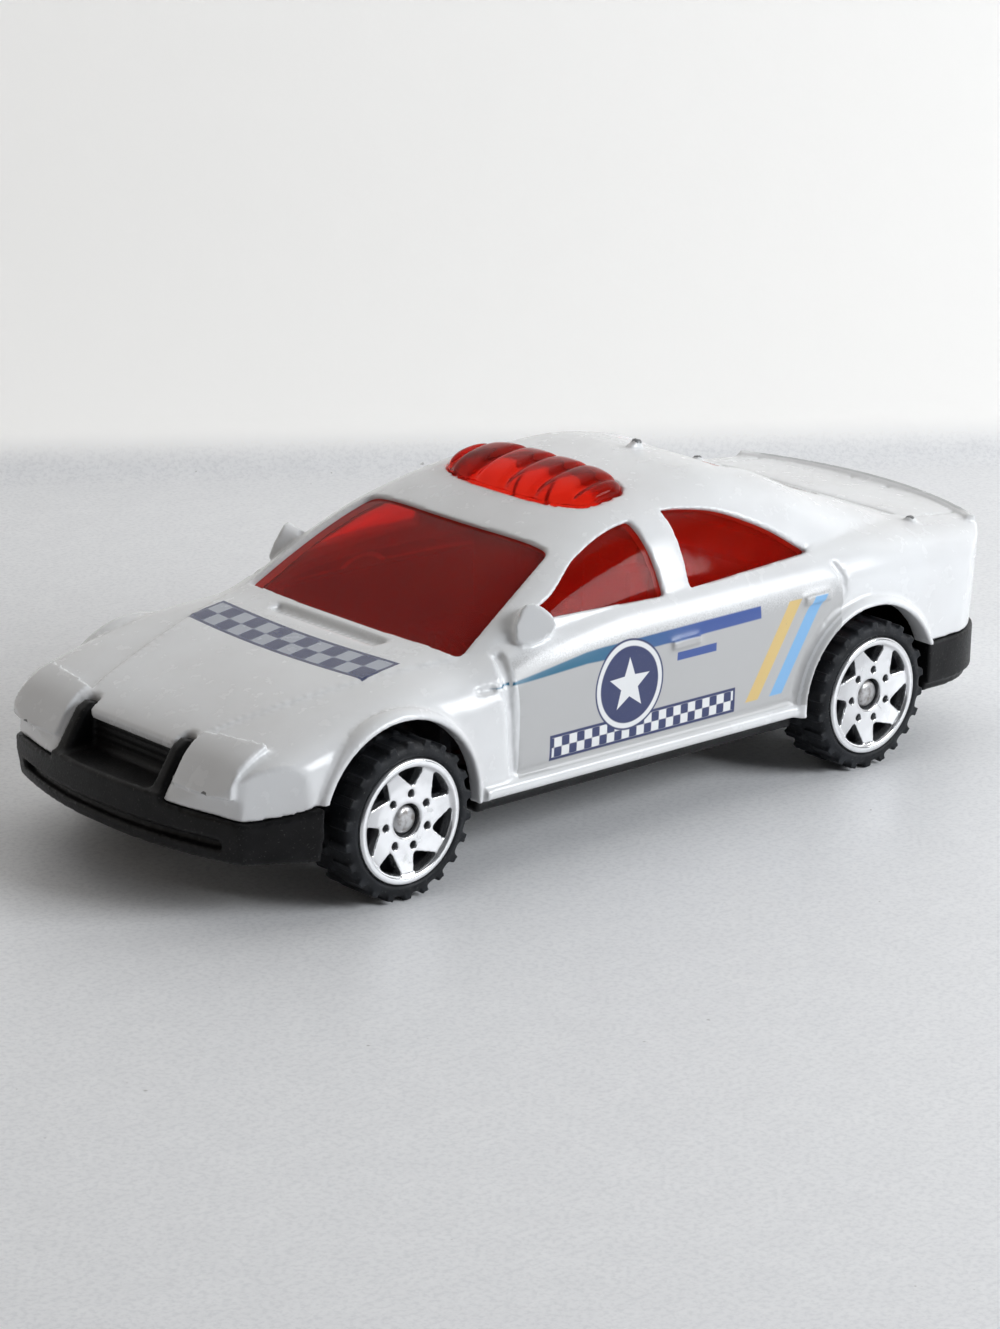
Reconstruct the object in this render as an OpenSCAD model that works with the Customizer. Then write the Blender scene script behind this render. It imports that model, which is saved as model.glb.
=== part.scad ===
// Pocket-size toy police car: cast body, red glazing with a roof beacon, black base, free-rolling wheels
// X runs forward, Y to the car's left, Z up; the ground is at Z = 0

/* [Overall] */
// Length from the front bumper to the rear lip
overall_length = 74.4; // [71:0.1:78]
// Width of the body across the doors
body_width = 29.5; // [28.5:0.1:30.5]
// Height of the shoulder below the side windows
belt_height = 15.6; // [15:0.1:16.2]
// Rise of the roof's crown above the shoulder
cabin_rise = 6.7; // [6.2:0.1:7.4]
// Height of the body's lower edge
sill_height = 5.1; // [4.8:0.05:5.4]
// Height of the base pan's underside
ride_height = 3; // [2.6:0.1:3.4]

/* [Hood and tail] */
// Height of the hood's front lip
hood_lip_height = 10.3; // [9.8:0.1:10.8]
// Drop of the hood at the windscreen below the shoulder
cowl_drop = 1; // [0.7:0.05:1.3]
// Step around the hood's raised middle panel
hood_panel_rise = 0.22; // [0.1:0.02:0.4]
// Step around the cast head lamps
lamp_rise = 0.32; // [0.2:0.02:0.45]
// Rise of the trunk lid above the shoulder
deck_rise = 0.8; // [0.4:0.05:1.2]
// Rise of the rear lip's edge above the shoulder
lip_rise = 0.4; // [0.1:0.05:0.8]
// Plan radius of the rear lip
lip_radius = 28.4; // [26:0.2:32]
// Width and depth of the cast shut lines
shut_line = 0.25; // [0.15:0.05:0.35]

/* [Cabin] */
// Front edge of the windscreen, ahead of the middle, as a share of the length
cowl_share = 0.219; // [0.21:0.001:0.228]
// Upper edge of the windscreen, as a share of the length
screen_top_share = 0.0833; // [0.074:0.0005:0.092]
// Upper edge of the rear window, behind the middle, as a share of the length
backlight_top_share = 0.1774; // [0.168:0.0005:0.187]
// Lower edge of the rear window, as a share of the length
backlight_low_share = 0.3306; // [0.32:0.0005:0.34]
// Foot of the sloping rear roof on the trunk lid, as a share of the length
deck_share = 0.3602; // [0.35:0.0005:0.37]
// Width of the cabin at the shoulder
cabin_width = 26.7; // [25.8:0.1:27.4]
// Lean of the cabin's sides, sideways per unit of height
tumblehome = 0.3; // [0.2:0.02:0.36]
// Front tip of the side windows, as a share of the length
window_front_share = 0.1747; // [0.165:0.0005:0.183]
// Rear tip of the side windows, behind the middle, as a share of the length
window_rear_share = 0.2177; // [0.208:0.0005:0.227]
// Front edge of the pillar between the side windows, behind the middle, as a share of the length
pillar_share = 0.0188; // [0.01:0.0005:0.03]
// Width of the pillar between the side windows
pillar_width = 2.5; // [2:0.1:3]

/* [Walls and fits] */
// Wall of the cast lower body
body_wall = 1; // [0.8:0.05:1.2]
// Wall of the cast roof and pillars
roof_wall = 0.75; // [0.6:0.05:0.9]
// Wall of the red glazing
glass_wall = 0.8; // [0.6:0.05:1]
// Gap between pieces that are fitted into each other
fit_gap = 0.1; // [0.05:0.01:0.15]
// Wall of the interior moulding
tray_wall = 0.75; // [0.6:0.05:0.9]
// Thickness of the base pan
pan_wall = 1.4; // [1.2:0.05:1.7]

/* [Beacon and roof] */
// Length of the beacon across the roof
beacon_length = 14.8; // [13:0.1:16]
// Width of the beacon along the roof
beacon_width = 6; // [5:0.1:6.6]
// Height of the beacon above the roof
beacon_rise = 1.25; // [0.9:0.05:1.6]
// Number of full lobes between the beacon's rounded ends
beacon_lobes = 4; // [2:1:6]
// Length of one full lobe
lobe_pitch = 3.05; // [2.6:0.05:3.2]
// Place of the beacon behind the middle, as a share of the length
beacon_share = 0.0148; // [0:0.0005:0.025]
// Height of the roof fin
fin_height = 0.8; // [0.5:0.05:1]

/* [Wheels and axles] */
// Place of the front axle ahead of the middle, as a share of the length
front_axle_share = 0.3145; // [0.305:0.0005:0.324]
// Place of the rear axle behind the middle, as a share of the length
rear_axle_share = 0.2769; // [0.268:0.0005:0.286]
// Radius over the tyre's lugs
tyre_radius = 5.5; // [5.3:0.05:5.7]
// Width of the tyre
tyre_width = 4.2; // [3.9:0.05:4.5]
// How far the tyres stand out from the doors
wheel_stand_out = 0.65; // [0.4:0.05:0.9]
// Number of lugs in one row around the tyre
lug_count = 22; // [18:2:26]
// Height of the lugs
lug_height = 0.22; // [0.15:0.01:0.3]
// Width of one lug along the tread
lug_width = 0.6; // [0.4:0.05:0.8]
// Radius of the bright facing
facing_radius = 4.32; // [4:0.02:4.5]
// Number of spokes
spoke_count = 7; // [5:1:9]
// Radius of the hub's recess
hub_recess_radius = 1.15; // [1.05:0.01:1.25]
// Diameter of the axle
axle_diameter = 1.2; // [1:0.02:1.3]
// Radius of the axle's headed ends
axle_head_radius = 0.95; // [0.85:0.01:1]
// Radial clearance of the axle in the wheels and saddles
axle_play = 0.06; // [0.03:0.01:0.09]
// Gap between the tyre and the wheel arch
arch_gap = 1.15; // [0.9:0.05:1.3]
// Width of the lip around the wheel arch
arch_lip = 0.6; // [0.45:0.05:0.8]
// How far the rear arch lip stands out from the doors
arch_flare = 0.6; // [0.4:0.05:0.8]
// How far the front fenders are drawn in from the doors
fender_tuck = 0.4; // [0.2:0.05:0.6]

/* [Bumpers] */
// Height of the front bumper's top
front_bumper_top = 7.7; // [7.3:0.05:8.1]
// Dip of the front bumper's top under the head lamps
bumper_dip = 0.85; // [0.5:0.05:1]
// Height of the rear bumper's top
rear_bumper_top = 8; // [7.6:0.05:8.4]
// Height of both bumpers' lower edge
bumper_bottom = 4.2; // [3.9:0.05:4.3]
// Wall of the bumpers
bumper_wall = 1.4; // [1.1:0.05:1.7]
// How far the bumpers stand out from the body
bumper_reach = 0.25; // [0.15:0.05:0.5]
// Distance from the centre line to the inner side of a grille upright
upright_inner_y = 4.6; // [4:0.1:5]
// Width of a grille upright
upright_width = 1.15; // [0.9:0.05:1.4]
// Number of bars in the grille
grille_bars = 4; // [2:1:6]

/* [Rivets] */
// Radius of the body's rivet posts
post_radius = 1.7; // [1.5:0.05:1.9]
// Radius of the riveted shank in the base
shank_radius = 1.05; // [0.9:0.05:1.2]
// Radius of the rivet's spun head
rivet_head_radius = 1.7; // [1.5:0.05:1.9]
// Distance of the front rivet from the nose
front_rivet_setback = 6.8; // [6.6:0.05:7.1]
// Distance of the rear rivet from the tail
rear_rivet_setback = 7; // [6.5:0.1:7.6]

/* [Hidden] */
$fn = 48;

// Places worked out from the driving sizes
nose_x = overall_length / 2;
tail_x = -overall_length / 2;
front_axle_x = overall_length * front_axle_share;
rear_axle_x = -overall_length * rear_axle_share;
cowl_x = overall_length * cowl_share;
screen_top_x = overall_length * screen_top_share;
backlight_top_x = -overall_length * backlight_top_share;
backlight_low_x = -overall_length * backlight_low_share;
deck_x = -overall_length * deck_share;
window_front_x = overall_length * window_front_share;
window_rear_x = -overall_length * window_rear_share;
pillar_x = -overall_length * pillar_share;
beacon_x = -overall_length * beacon_share;
roof_height = belt_height + cabin_rise;
cowl_height = belt_height - cowl_drop;
deck_height = belt_height + deck_rise;
lip_height = belt_height + lip_rise;
half_body = body_width / 2;
half_cabin = cabin_width / 2;
axle_radius = axle_diameter / 2;
axle_z = tyre_radius;
arch_radius = tyre_radius + arch_gap;
wheel_outer_y = half_body + wheel_stand_out;
wheel_inner_y = wheel_outer_y - tyre_width;
rear_lip_y = half_body + arch_flare;
front_lip_y = rear_lip_y - 1.6 * fender_tuck;
pan_top = ride_height + pan_wall;
beyond = 60;

// The glazing's lower edge stands on the tray's rim
glass_inset = roof_wall + fit_gap;
glass_foot = belt_height - 2.6;
tray_bottom = axle_z + axle_radius + 0.25;
tray_side = half_cabin - glass_inset;

// The base pan is narrow between the wheels and its flange is wide between the arches
pan_side = wheel_inner_y - 1;
well_wall = 0.8;
well_radius = arch_radius - 0.35;
arch_room = 0.3;
flange_front_x = front_axle_x - arch_radius - arch_room;
flange_rear_x = rear_axle_x + arch_radius + arch_room;
flange_side = half_body - 0.65;
flange_height = sill_height - fit_gap - bumper_bottom;
front_bumper_back = front_axle_x + arch_radius + 0.1;
rear_bumper_back = rear_axle_x - arch_radius - 0.1;
front_post_x = nose_x - front_rivet_setback;
rear_post_x = tail_x + rear_rivet_setback;
rivet_depth = 0.55;
post_foot = pan_top + 0.9;

// Wheel section, measured outward from the tyre's inner face
tread_radius = tyre_radius - lug_height;
hub_radius = 1.7;
facing_depth = 0.9;
facing_seat = tyre_width - facing_depth;
facing_proud = 0.1;
facing_dish = 0.4;
facing_fit = 0.04;
web_wall = 1;
window_pit = 0.5;
axle_head_height = 0.4;
axle_end_play = 0.1;

// Smooth curve through a few points whose x rises, without overshoot
function secant(p, i) = (p[i + 1][1] - p[i][1]) / (p[i + 1][0] - p[i][0]);
function tangent(p, i) =
    i == 0 ? secant(p, 0) :
    i == len(p) - 1 ? secant(p, i - 1) :
    secant(p, i - 1) * secant(p, i) <= 0 ? 0 :
    2 / (1 / secant(p, i - 1) + 1 / secant(p, i));
function span_at(p, x, i = 0) = i >= len(p) - 2 || x < p[i + 1][0] ? i : span_at(p, x, i + 1);
function hermite(y0, m0, y1, m1, t) =
    y0 * (1 + 2 * t) * pow(1 - t, 2) + m0 * t * pow(1 - t, 2)
    + y1 * t * t * (3 - 2 * t) - m1 * t * t * (1 - t);
function curve(p, x) =
    let (i = span_at(p, x), h = p[i + 1][0] - p[i][0])
    hermite(p[i][1], h * tangent(p, i), p[i + 1][1], h * tangent(p, i + 1), (x - p[i][0]) / h);

// Height of the lower body on the centre line, from tail to nose; under the cabin it only sets the shoulder
crown_line = [
    [tail_x - 1, deck_height - 1.1],
    [tail_x + 3.5, deck_height - 0.5],
    [deck_x - 1.2, deck_height],
    [rear_axle_x, belt_height + 1.5],
    [0, belt_height + 1.6],
    [cowl_x - 6, cowl_height + 1.5],
    [cowl_x, cowl_height - hood_panel_rise],
    [front_axle_x, cowl_height - 1.15 - hood_panel_rise],
    [nose_x - 7.2, hood_lip_height + 1.8 - hood_panel_rise],
    [nose_x - 4.2, hood_lip_height + 0.9 - hood_panel_rise],
    [nose_x - 2.6, hood_lip_height - hood_panel_rise],
    [nose_x - 1.2, front_bumper_top + 0.3],
    [nose_x + 0.2, sill_height + 0.4]
];
// Half width of the lower body
width_line = [
    [tail_x - 1, half_body - 1.6],
    [tail_x + 6, half_body - 0.5],
    [rear_axle_x, half_body + 0.1],
    [0, half_body],
    [cowl_x - 2, half_body - 0.05],
    [front_axle_x, half_body - fender_tuck],
    [nose_x - 5, half_body - fender_tuck - 0.15],
    [nose_x + 1, half_body - fender_tuck - 0.7]
];
// Squareness of the shoulder: a higher power has a tighter corner
shoulder_line = [
    [tail_x - 1, 9],
    [rear_axle_x, 8],
    [0, 6.5],
    [cowl_x - 4, 6.5],
    [cowl_x, 5.8],
    [front_axle_x, 9.5],
    [nose_x + 1, 7]
];
// Height of the cabin on the centre line; its front end runs on under the hood
cabin_run = 4.5;
cabin_dive = 3;
roof_line = [
    [deck_x - 8, deck_height - 4.4],
    [deck_x - 1, deck_height + 0.1],
    [(deck_x + backlight_top_x) / 2, (deck_height + roof_height) / 2],
    [backlight_top_x - 1.8, roof_height - 0.85],
    [beacon_x - 8, roof_height],
    [beacon_x - 2, roof_height - 0.25],
    [screen_top_x - 0.8, roof_height - 2.2],
    [cowl_x - 0.3, cowl_height - 0.2],
    [cowl_x + cabin_run, cowl_height - cabin_dive]
];
// Half width of the cabin at the shoulder
cabin_line = [
    [deck_x - 8, half_cabin - 2.6],
    [deck_x, half_cabin - 1.7],
    [window_rear_x, half_cabin - 0.5],
    [0, half_cabin],
    [cowl_x - 7, half_cabin - 0.35],
    [cowl_x, half_cabin - 1.35],
    [cowl_x + 5, half_cabin - 2.2]
];
// Squareness of the cabin's upper corners: the windscreen is flatter than the roof
corner_line = [
    [deck_x - 8, 7],
    [deck_x + 4, 6.5],
    [backlight_top_x, 5],
    [beacon_x - 4, 4.2],
    [screen_top_x, 5.2],
    [cowl_x + 5, 5.6]
];
// Upper edge of the side windows
daylight_line = [
    [window_rear_x, belt_height + 0.12 * cabin_rise],
    [window_rear_x + 4.2, belt_height + 0.493 * cabin_rise],
    [pillar_x - 6.1, belt_height + 0.739 * cabin_rise],
    [pillar_x - 2.6, belt_height + 0.791 * cabin_rise],
    [pillar_x + 1.4, belt_height + 0.739 * cabin_rise],
    [window_front_x - 8.2, belt_height + 0.537 * cabin_rise],
    [window_front_x - 4.3, belt_height + 0.216 * cabin_rise],
    [window_front_x, belt_height]
];

// Cross-sections of the lower body and the cabin, drawn in by an inset
section_steps = 8;
body_stations = 24;
cabin_stations = 20;
section_angles = [for (i = [0 : 2 * section_steps]) 90 * i / section_steps];
function signed_power(v, e) = sign(v) * pow(abs(v), e);
function side_at(x, z) =
    let (power = curve(shoulder_line, x), t = (z - sill_height) / (curve(crown_line, x) - sill_height))
    curve(width_line, x) * pow(1 - pow(t, power), 1 / power);
function body_ring(x, inset) =
    let (
        w = curve(width_line, x) - inset,
        rise = curve(crown_line, x) - inset - sill_height,
        e = 2 / curve(shoulder_line, x)
    )
    concat(
        [[x, w, 0]],
        [for (a = section_angles) [x, w * signed_power(cos(a), e), sill_height + rise * pow(sin(a), e)]],
        [[x, -w, 0]]
    );
cabin_foot = belt_height - 3.6;
cabin_roof_power = 5.5;
function cabin_point(x, w, rise, a) =
    let (z = cabin_foot + rise * pow(sin(a), 2 / cabin_roof_power))
    [x, (w - tumblehome * max(0, z - belt_height)) * signed_power(cos(a), 2 / curve(corner_line, x)), z];
function cabin_ring(x, inset) =
    let (w = curve(cabin_line, x) - inset, rise = curve(roof_line, x) - inset - cabin_foot)
    concat(
        [[x, w, cabin_foot - 2]],
        [for (a = section_angles) cabin_point(x, w, rise, a)],
        [[x, -w, cabin_foot - 2]]
    );
function roof_at(x, y) =
    let (
        rise = curve(roof_line, x) - cabin_foot,
        w = curve(cabin_line, x) - tumblehome * (curve(roof_line, x) - belt_height)
    )
    cabin_foot + rise * pow(1 - pow(abs(y) / w, curve(corner_line, x)), 1 / cabin_roof_power);

module loft(rings) {
    n = len(rings[0]);
    last = (len(rings) - 1) * n;
    sides = [
        for (j = [0 : len(rings) - 2], i = [0 : n - 1])
            let (a = j * n + i, b = j * n + (i + 1) % n)
            each [[a, a + n, b], [b, a + n, b + n]]
    ];
    caps = [[for (i = [0 : n - 1]) i], [for (i = [n - 1 : -1 : 0]) last + i]];
    polyhedron(points = [for (r = rings) each r], faces = concat(sides, caps), convexity = 8);
}

// Plan of the nose or the tail: half of a rounded outline that starts beside the wheel arch
nose_power = 2.1;
tail_power = 3;
end_steps = 7;
function end_plan(reach, b, power) = [
    for (k = [-end_steps : end_steps])
        let (a = 90 * k / end_steps)
        [reach * pow(cos(a), 2 / power), b * signed_power(sin(a), 2 / power)]
];
end_side = half_body + 0.15;
module nose_plan(inset, back) {
    b = end_side - inset;
    points = end_plan(nose_x - front_bumper_back - inset, b, nose_power);
    polygon(concat(
        [[front_bumper_back - back, -b]],
        [for (p = points) [front_bumper_back + p[0], p[1]]],
        [[front_bumper_back - back, b]]
    ));
}
module tail_plan(inset, back) {
    b = end_side - inset;
    points = end_plan(rear_bumper_back - tail_x - inset, b, tail_power);
    polygon(concat(
        [[rear_bumper_back + back, -b]],
        [for (p = points) [rear_bumper_back - p[0], p[1]]],
        [[rear_bumper_back + back, b]]
    ));
}

// The lower body, trimmed to its plan at both ends; the tail leans forward towards the bumper
tail_lean = 0.07;
lean_height = deck_height - 2;
module lower_body(inset) {
    intersection() {
        loft([
            for (i = [0 : body_stations])
                body_ring(tail_x + overall_length * (1 - cos(180 * i / body_stations)) / 2, inset)
        ]);
        linear_extrude(beyond)
            nose_plan(inset + bumper_reach, 2 * beyond);
        multmatrix([[1, 0, -tail_lean, tail_lean * lean_height], [0, 1, 0, 0], [0, 0, 1, 0]])
            linear_extrude(beyond)
                tail_plan(inset + bumper_reach, 2 * beyond);
    }
}
module cabin(inset) {
    first = deck_x - 7;
    last = cowl_x + 4;
    loft([for (i = [0 : cabin_stations]) cabin_ring(first + (last - first) * i / cabin_stations, inset)]);
}

// Outline of the side windows seen from the side
window_corner = 0.3;
module side_windows() {
    steps = 20;
    span = window_front_x - window_rear_x;
    bottom = [[window_front_x, belt_height - 0.05], [window_rear_x, belt_height + 0.75]];
    offset(window_corner, $fn = 16) offset(delta = -window_corner)
        difference() {
            polygon(concat(
                [for (i = [0 : steps])
                    let (x = window_rear_x + span * i / steps)
                    [x, curve(daylight_line, x)]],
                bottom
            ));
            translate([pillar_x - pillar_width, 0])
                square([pillar_width, beyond]);
        }
}
// Plan of a window across the car, between two bowed edges
screen_corner = 0.8;
module cross_window(x_low, half_low, low_bow, x_high, half_high, high_bow) {
    steps = 5;
    ys = [for (i = [-steps : steps]) i / steps];
    offset(screen_corner, $fn = 24) offset(delta = -screen_corner)
        polygon(concat(
            [for (t = ys) [x_low - low_bow * t * t, half_low * t]],
            [for (t = ys) [x_high - high_bow * t * t, -half_high * t]]
        ));
}
screen_low_half = half_cabin - 2.05;
screen_high_half = half_cabin - 3.95;
backlight_low_half = half_cabin - 4.8;
backlight_high_half = half_cabin - 5;
screen_low_bow = 0.5;
screen_high_bow = 0.9;
module window_cuts() {
    for (side = [-1, 1])
        translate([0, side * (half_cabin - 2), 0])
            rotate([90, 0, 0])
                linear_extrude(8, center = true)
                    side_windows();
    translate([0, 0, cowl_height - 1.6])
        linear_extrude(beyond) {
            cross_window(cowl_x, screen_low_half, screen_low_bow,
                screen_top_x, screen_high_half, screen_high_bow);
            cross_window(backlight_low_x, backlight_low_half, -screen_low_bow,
                backlight_top_x, backlight_high_half, -screen_high_bow);
        }
}

// Half widths of the beacon at a place across the roof, and its outline in plan
beacon_power = 3.4;
function beacon_half(y, half) =
    half * pow(max(0, 1 - pow(2 * abs(y) / beacon_length, beacon_power)), 1 / beacon_power);
module beacon_plan(grow) {
    steps = 16;
    translate([beacon_x, 0])
        polygon([
            for (i = [0 : 2 * steps - 1])
                let (a = 180 * i / steps)
                [(beacon_width / 2 + grow) * signed_power(cos(a), 2 / beacon_power),
                    (beacon_length / 2 + grow) * signed_power(sin(a), 2 / beacon_power)]
        ]);
}

// Cast shut lines: a narrow path through the side, down to a shallow depth
module groove_path(points) {
    for (i = [0 : len(points) - 2])
        hull() {
            translate(points[i]) circle(d = shut_line, $fn = 6);
            translate(points[i + 1]) circle(d = shut_line, $fn = 6);
        }
}
door_front_x = cowl_x - 2.5;
door_rear_line = [
    [rear_axle_x + arch_radius + 0.6, sill_height + 1.4],
    [rear_axle_x + 4.5, axle_z + 4.2],
    [rear_axle_x + 2.3, axle_z + 7.4],
    [window_rear_x - 1.1, belt_height + 0.2]
];
trunk_half = half_cabin - 3.4;
module shut_lines() {
    difference() {
        union() {
            rotate([90, 0, 0])
                linear_extrude(beyond, center = true) {
                    groove_path([[door_front_x, belt_height], [door_front_x + 0.3, belt_height - 4],
                        [door_front_x, sill_height + 1.2]]);
                    groove_path([[door_front_x, sill_height + 1.2], door_rear_line[0]]);
                    groove_path(door_rear_line);
                }
            linear_extrude(beyond)
                groove_path([[tail_x + 2.8, trunk_half], [deck_x - 2.2, trunk_half],
                    [deck_x - 2.2, -trunk_half], [tail_x + 2.8, -trunk_half]]);
        }
        lower_body(shut_line);
        cube([beyond, 2 * trunk_half - 2, 4 * sill_height], center = true);
    }
}

// The hood's raised middle panel, wider towards the windscreen
hood_panel_front = upright_inner_y + upright_width;
hood_panel_rear = screen_low_half;
module hood_panel() {
    intersection() {
        lower_body(-hood_panel_rise);
        linear_extrude(beyond)
            polygon([
                [cowl_x - 1, -hood_panel_rear], [nose_x - 2.7, -hood_panel_front],
                [nose_x - 2.7, hood_panel_front], [cowl_x - 1, hood_panel_rear]
            ]);
    }
}

// Cast head lamps: pads that stand proud of the nose on either side of the grille
lamp_inner_y = upright_inner_y + upright_width + 0.5;
lamp_outer_y = half_body - 3.4;
lamp_back_x = nose_x - 4;
lamp_sweep = 1.1;
module head_lamps() {
    intersection() {
        lower_body(-lamp_rise);
        linear_extrude(beyond)
            for (side = [-1, 1])
                polygon([
                    [lamp_back_x, side * lamp_inner_y], [nose_x, side * lamp_inner_y],
                    [nose_x, side * lamp_outer_y], [lamp_back_x - lamp_sweep, side * lamp_outer_y]
                ]);
    }
}

// A flared lip around one wheel arch
flare_depth = 1.1;
module arch_flare_ring(x, side, lip_y) {
    translate([x, side * (lip_y - flare_depth), axle_z])
        rotate([-side * 90, 0, 0])
            cylinder(h = flare_depth, r1 = arch_radius + arch_lip, r2 = arch_radius + arch_lip / 2);
}
module arch_cut(x) {
    translate([x, 0, axle_z])
        rotate([90, 0, 0])
            difference() {
                cylinder(h = beyond, r = arch_radius, center = true);
                cylinder(h = 2 * (pan_side + 0.2), r = arch_radius + 1, center = true);
            }
}

// The rear lip, an arc along the tail's upper edge
lip_wall = 0.65;
lip_span = 51;
module rear_lip() {
    translate([tail_x + lip_radius, 0, 0])
        rotate([0, 0, 180 - lip_span / 2])
            rotate_extrude(angle = lip_span, $fn = 72)
                polygon([
                    [lip_radius - lip_wall - 1.4, deck_height - 2.2], [lip_radius - 0.4, deck_height - 2.6],
                    [lip_radius, lip_height - 0.2], [lip_radius - 0.2, lip_height],
                    [lip_radius - lip_wall, lip_height - 0.1],
                    [lip_radius - lip_wall - 0.6, deck_height - 0.9]
                ]);
}

// One door mirror: a rounded housing on the shoulder at the foot of the windscreen pillar
mirror_x = cowl_x - 5.9;
mirror_depth = 1.1;
module mirror(side) {
    y = half_cabin - 0.7;
    hull()
        for (p = [[0.2, 0.1], [1.4, 0.4], [1.2, 1.4], [0.4, 1.7], [-0.4, 0.6]], x = [0, mirror_depth])
            translate([mirror_x - x, side * (y + p[0] - 0.12 * x), belt_height - 0.8 + p[1]])
                sphere(0.35, $fn = 8);
}
// The roof fin leans back
fin_length = 2.2;
module roof_fin() {
    x = beacon_x - 8.4;
    hull() {
        translate([x - fin_length / 2, 0, roof_height - 0.3])
            cube([fin_length, 0.6, 0.4], center = true);
        translate([x - fin_length + 0.5, 0, roof_height + fin_height - 0.2])
            sphere(0.2, $fn = 8);
    }
}
// A small cast handle on the door's side
handle_length = 3;
handle_radius = 0.42;
module door_handle(x, z, side) {
    hull()
        for (dx = [-handle_length / 2, handle_length / 2])
            translate([x + dx, side * (side_at(x + dx, z) - 0.1), z])
                sphere(handle_radius, $fn = 10);
}
// The ridge along the sill
module sill_ridge(side) {
    hull()
        for (x = [flange_rear_x + 0.2, flange_front_x - 0.2], z = [sill_height, sill_height + 0.8])
            translate([x, side * (half_body - 0.25), z])
                rotate([0, 90, 0])
                    cylinder(h = 0.1, r = 0.42, center = true, $fn = 8);
}

// Room for the black grille in the nose, and for its uprights
module grille_cuts() {
    back = nose_x - 4.4;
    rotate([90, 0, 0])
        linear_extrude(2 * (upright_inner_y + upright_width + fit_gap), center = true)
            polygon([
                [back, sill_height], [back, hood_lip_height + 0.15], [nose_x - 2.9, hood_lip_height - 0.6],
                [nose_x - 2.55, hood_lip_height + 1], [nose_x + 1, hood_lip_height + 1],
                [nose_x + 1, sill_height]
            ]);
    for (side = [-1, 1])
        translate([nose_x - 3.6, side * (upright_inner_y + upright_width / 2), hood_lip_height - 2])
            linear_extrude(beyond)
                offset(upright_width / 2 + fit_gap)
                    square([2 * (upright_width), 0.01], center = true);
}

// The front bumper's top dips under the lamps and rises again to its tip: its line seen from the side
function bumper_top_line(lift) = [
    [front_bumper_back - 0.7, front_bumper_top + lift],
    [front_bumper_back, front_bumper_top + lift],
    [nose_x - 2.9, front_bumper_top - bumper_dip + lift],
    [nose_x - 0.75, front_bumper_top - 0.65 * bumper_dip + lift],
    [nose_x + 1, front_bumper_top - 0.65 * bumper_dip + lift]
];
module front_bumper_room() {
    rotate([90, 0, 0])
        linear_extrude(beyond, center = true)
            polygon(concat(bumper_top_line(fit_gap), [[nose_x + 1, 0], [front_bumper_back - 0.7, 0]]));
}

// A post cast inside the body, riveted over in the base pan's counterbore
module rivet_post(x) {
    head_z = ride_height + 0.05;
    top = curve(crown_line, x) - body_wall / 2;
    translate([x, 0, post_foot])
        cylinder(h = top - post_foot, r = post_radius, $fn = 24);
    translate([x, 0, head_z])
        cylinder(h = post_foot - head_z + 0.1, r = shank_radius, $fn = 24);
    translate([x, 0, head_z])
        cylinder(h = rivet_depth - 0.05, r1 = rivet_head_radius - 0.3, r2 = rivet_head_radius, $fn = 24);
}

module body_shell() {
    color("white")
        difference() {
            union() {
                difference() {
                    union() {
                        lower_body(0);
                        cabin(0);
                        hood_panel();
                        head_lamps();
                        for (side = [-1, 1]) {
                            arch_flare_ring(front_axle_x, side, front_lip_y);
                            arch_flare_ring(rear_axle_x, side, rear_lip_y);
                            sill_ridge(side);
                        }
                        rear_lip();
                    }
                    lower_body(body_wall);
                    cabin(roof_wall);
                    translate([0, 0, sill_height - beyond / 2])
                        cube([2 * beyond, 2 * beyond, beyond], center = true);
                    window_cuts();
                    shut_lines();
                    grille_cuts();
                    front_bumper_room();
                    translate([rear_axle_x - arch_radius + 0.6 - beyond, -beyond / 2, 0])
                        cube([beyond, beyond, rear_bumper_top + fit_gap]);
                    translate([0, 0, roof_height - 4])
                        linear_extrude(beyond)
                            beacon_plan(fit_gap);
                }
                for (side = [-1, 1]) {
                    mirror(side);
                    door_handle(pillar_x - 2.1, belt_height - 3.5, side);
                    door_handle(window_rear_x + 0.8, belt_height - 1.9, side);
                    translate([deck_x - 1.7, side * trunk_half * 1.11, deck_height - 0.15])
                        sphere(0.4, $fn = 10);
                }
                roof_fin();
                for (x = [front_post_x, rear_post_x])
                    rivet_post(x);
            }
            arch_cut(front_axle_x);
            arch_cut(rear_axle_x);
        }
}

// The beacon is a row of domed lobes; a slice is the dome's profile at one place across the roof
lobe_waist = 0.9;
slice_steps = 7;
module beacon_slice(y, swell) {
    half = beacon_half(y, beacon_width / 2 - 0.02) * swell;
    foot = roof_at(beacon_x, y) - roof_wall;
    rise = beacon_half(y, beacon_rise) * swell + roof_wall;
    translate([beacon_x, y, foot])
        rotate([90, 0, 0])
            linear_extrude(0.02, center = true)
                polygon([
                    for (i = [0 : slice_steps])
                        let (a = 180 * i / slice_steps)
                        [half * signed_power(cos(a), 0.8), rise * pow(max(0, sin(a)), 0.7)]
                ]);
}
module beacon_lobe(y0, y1) {
    middle = (y0 + y1) / 2;
    for (end = [y0, y1])
        hull() {
            beacon_slice(end, abs(end) > beacon_length / 2 - 0.1 ? 1 : lobe_waist);
            beacon_slice(middle, 1);
        }
}
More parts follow.
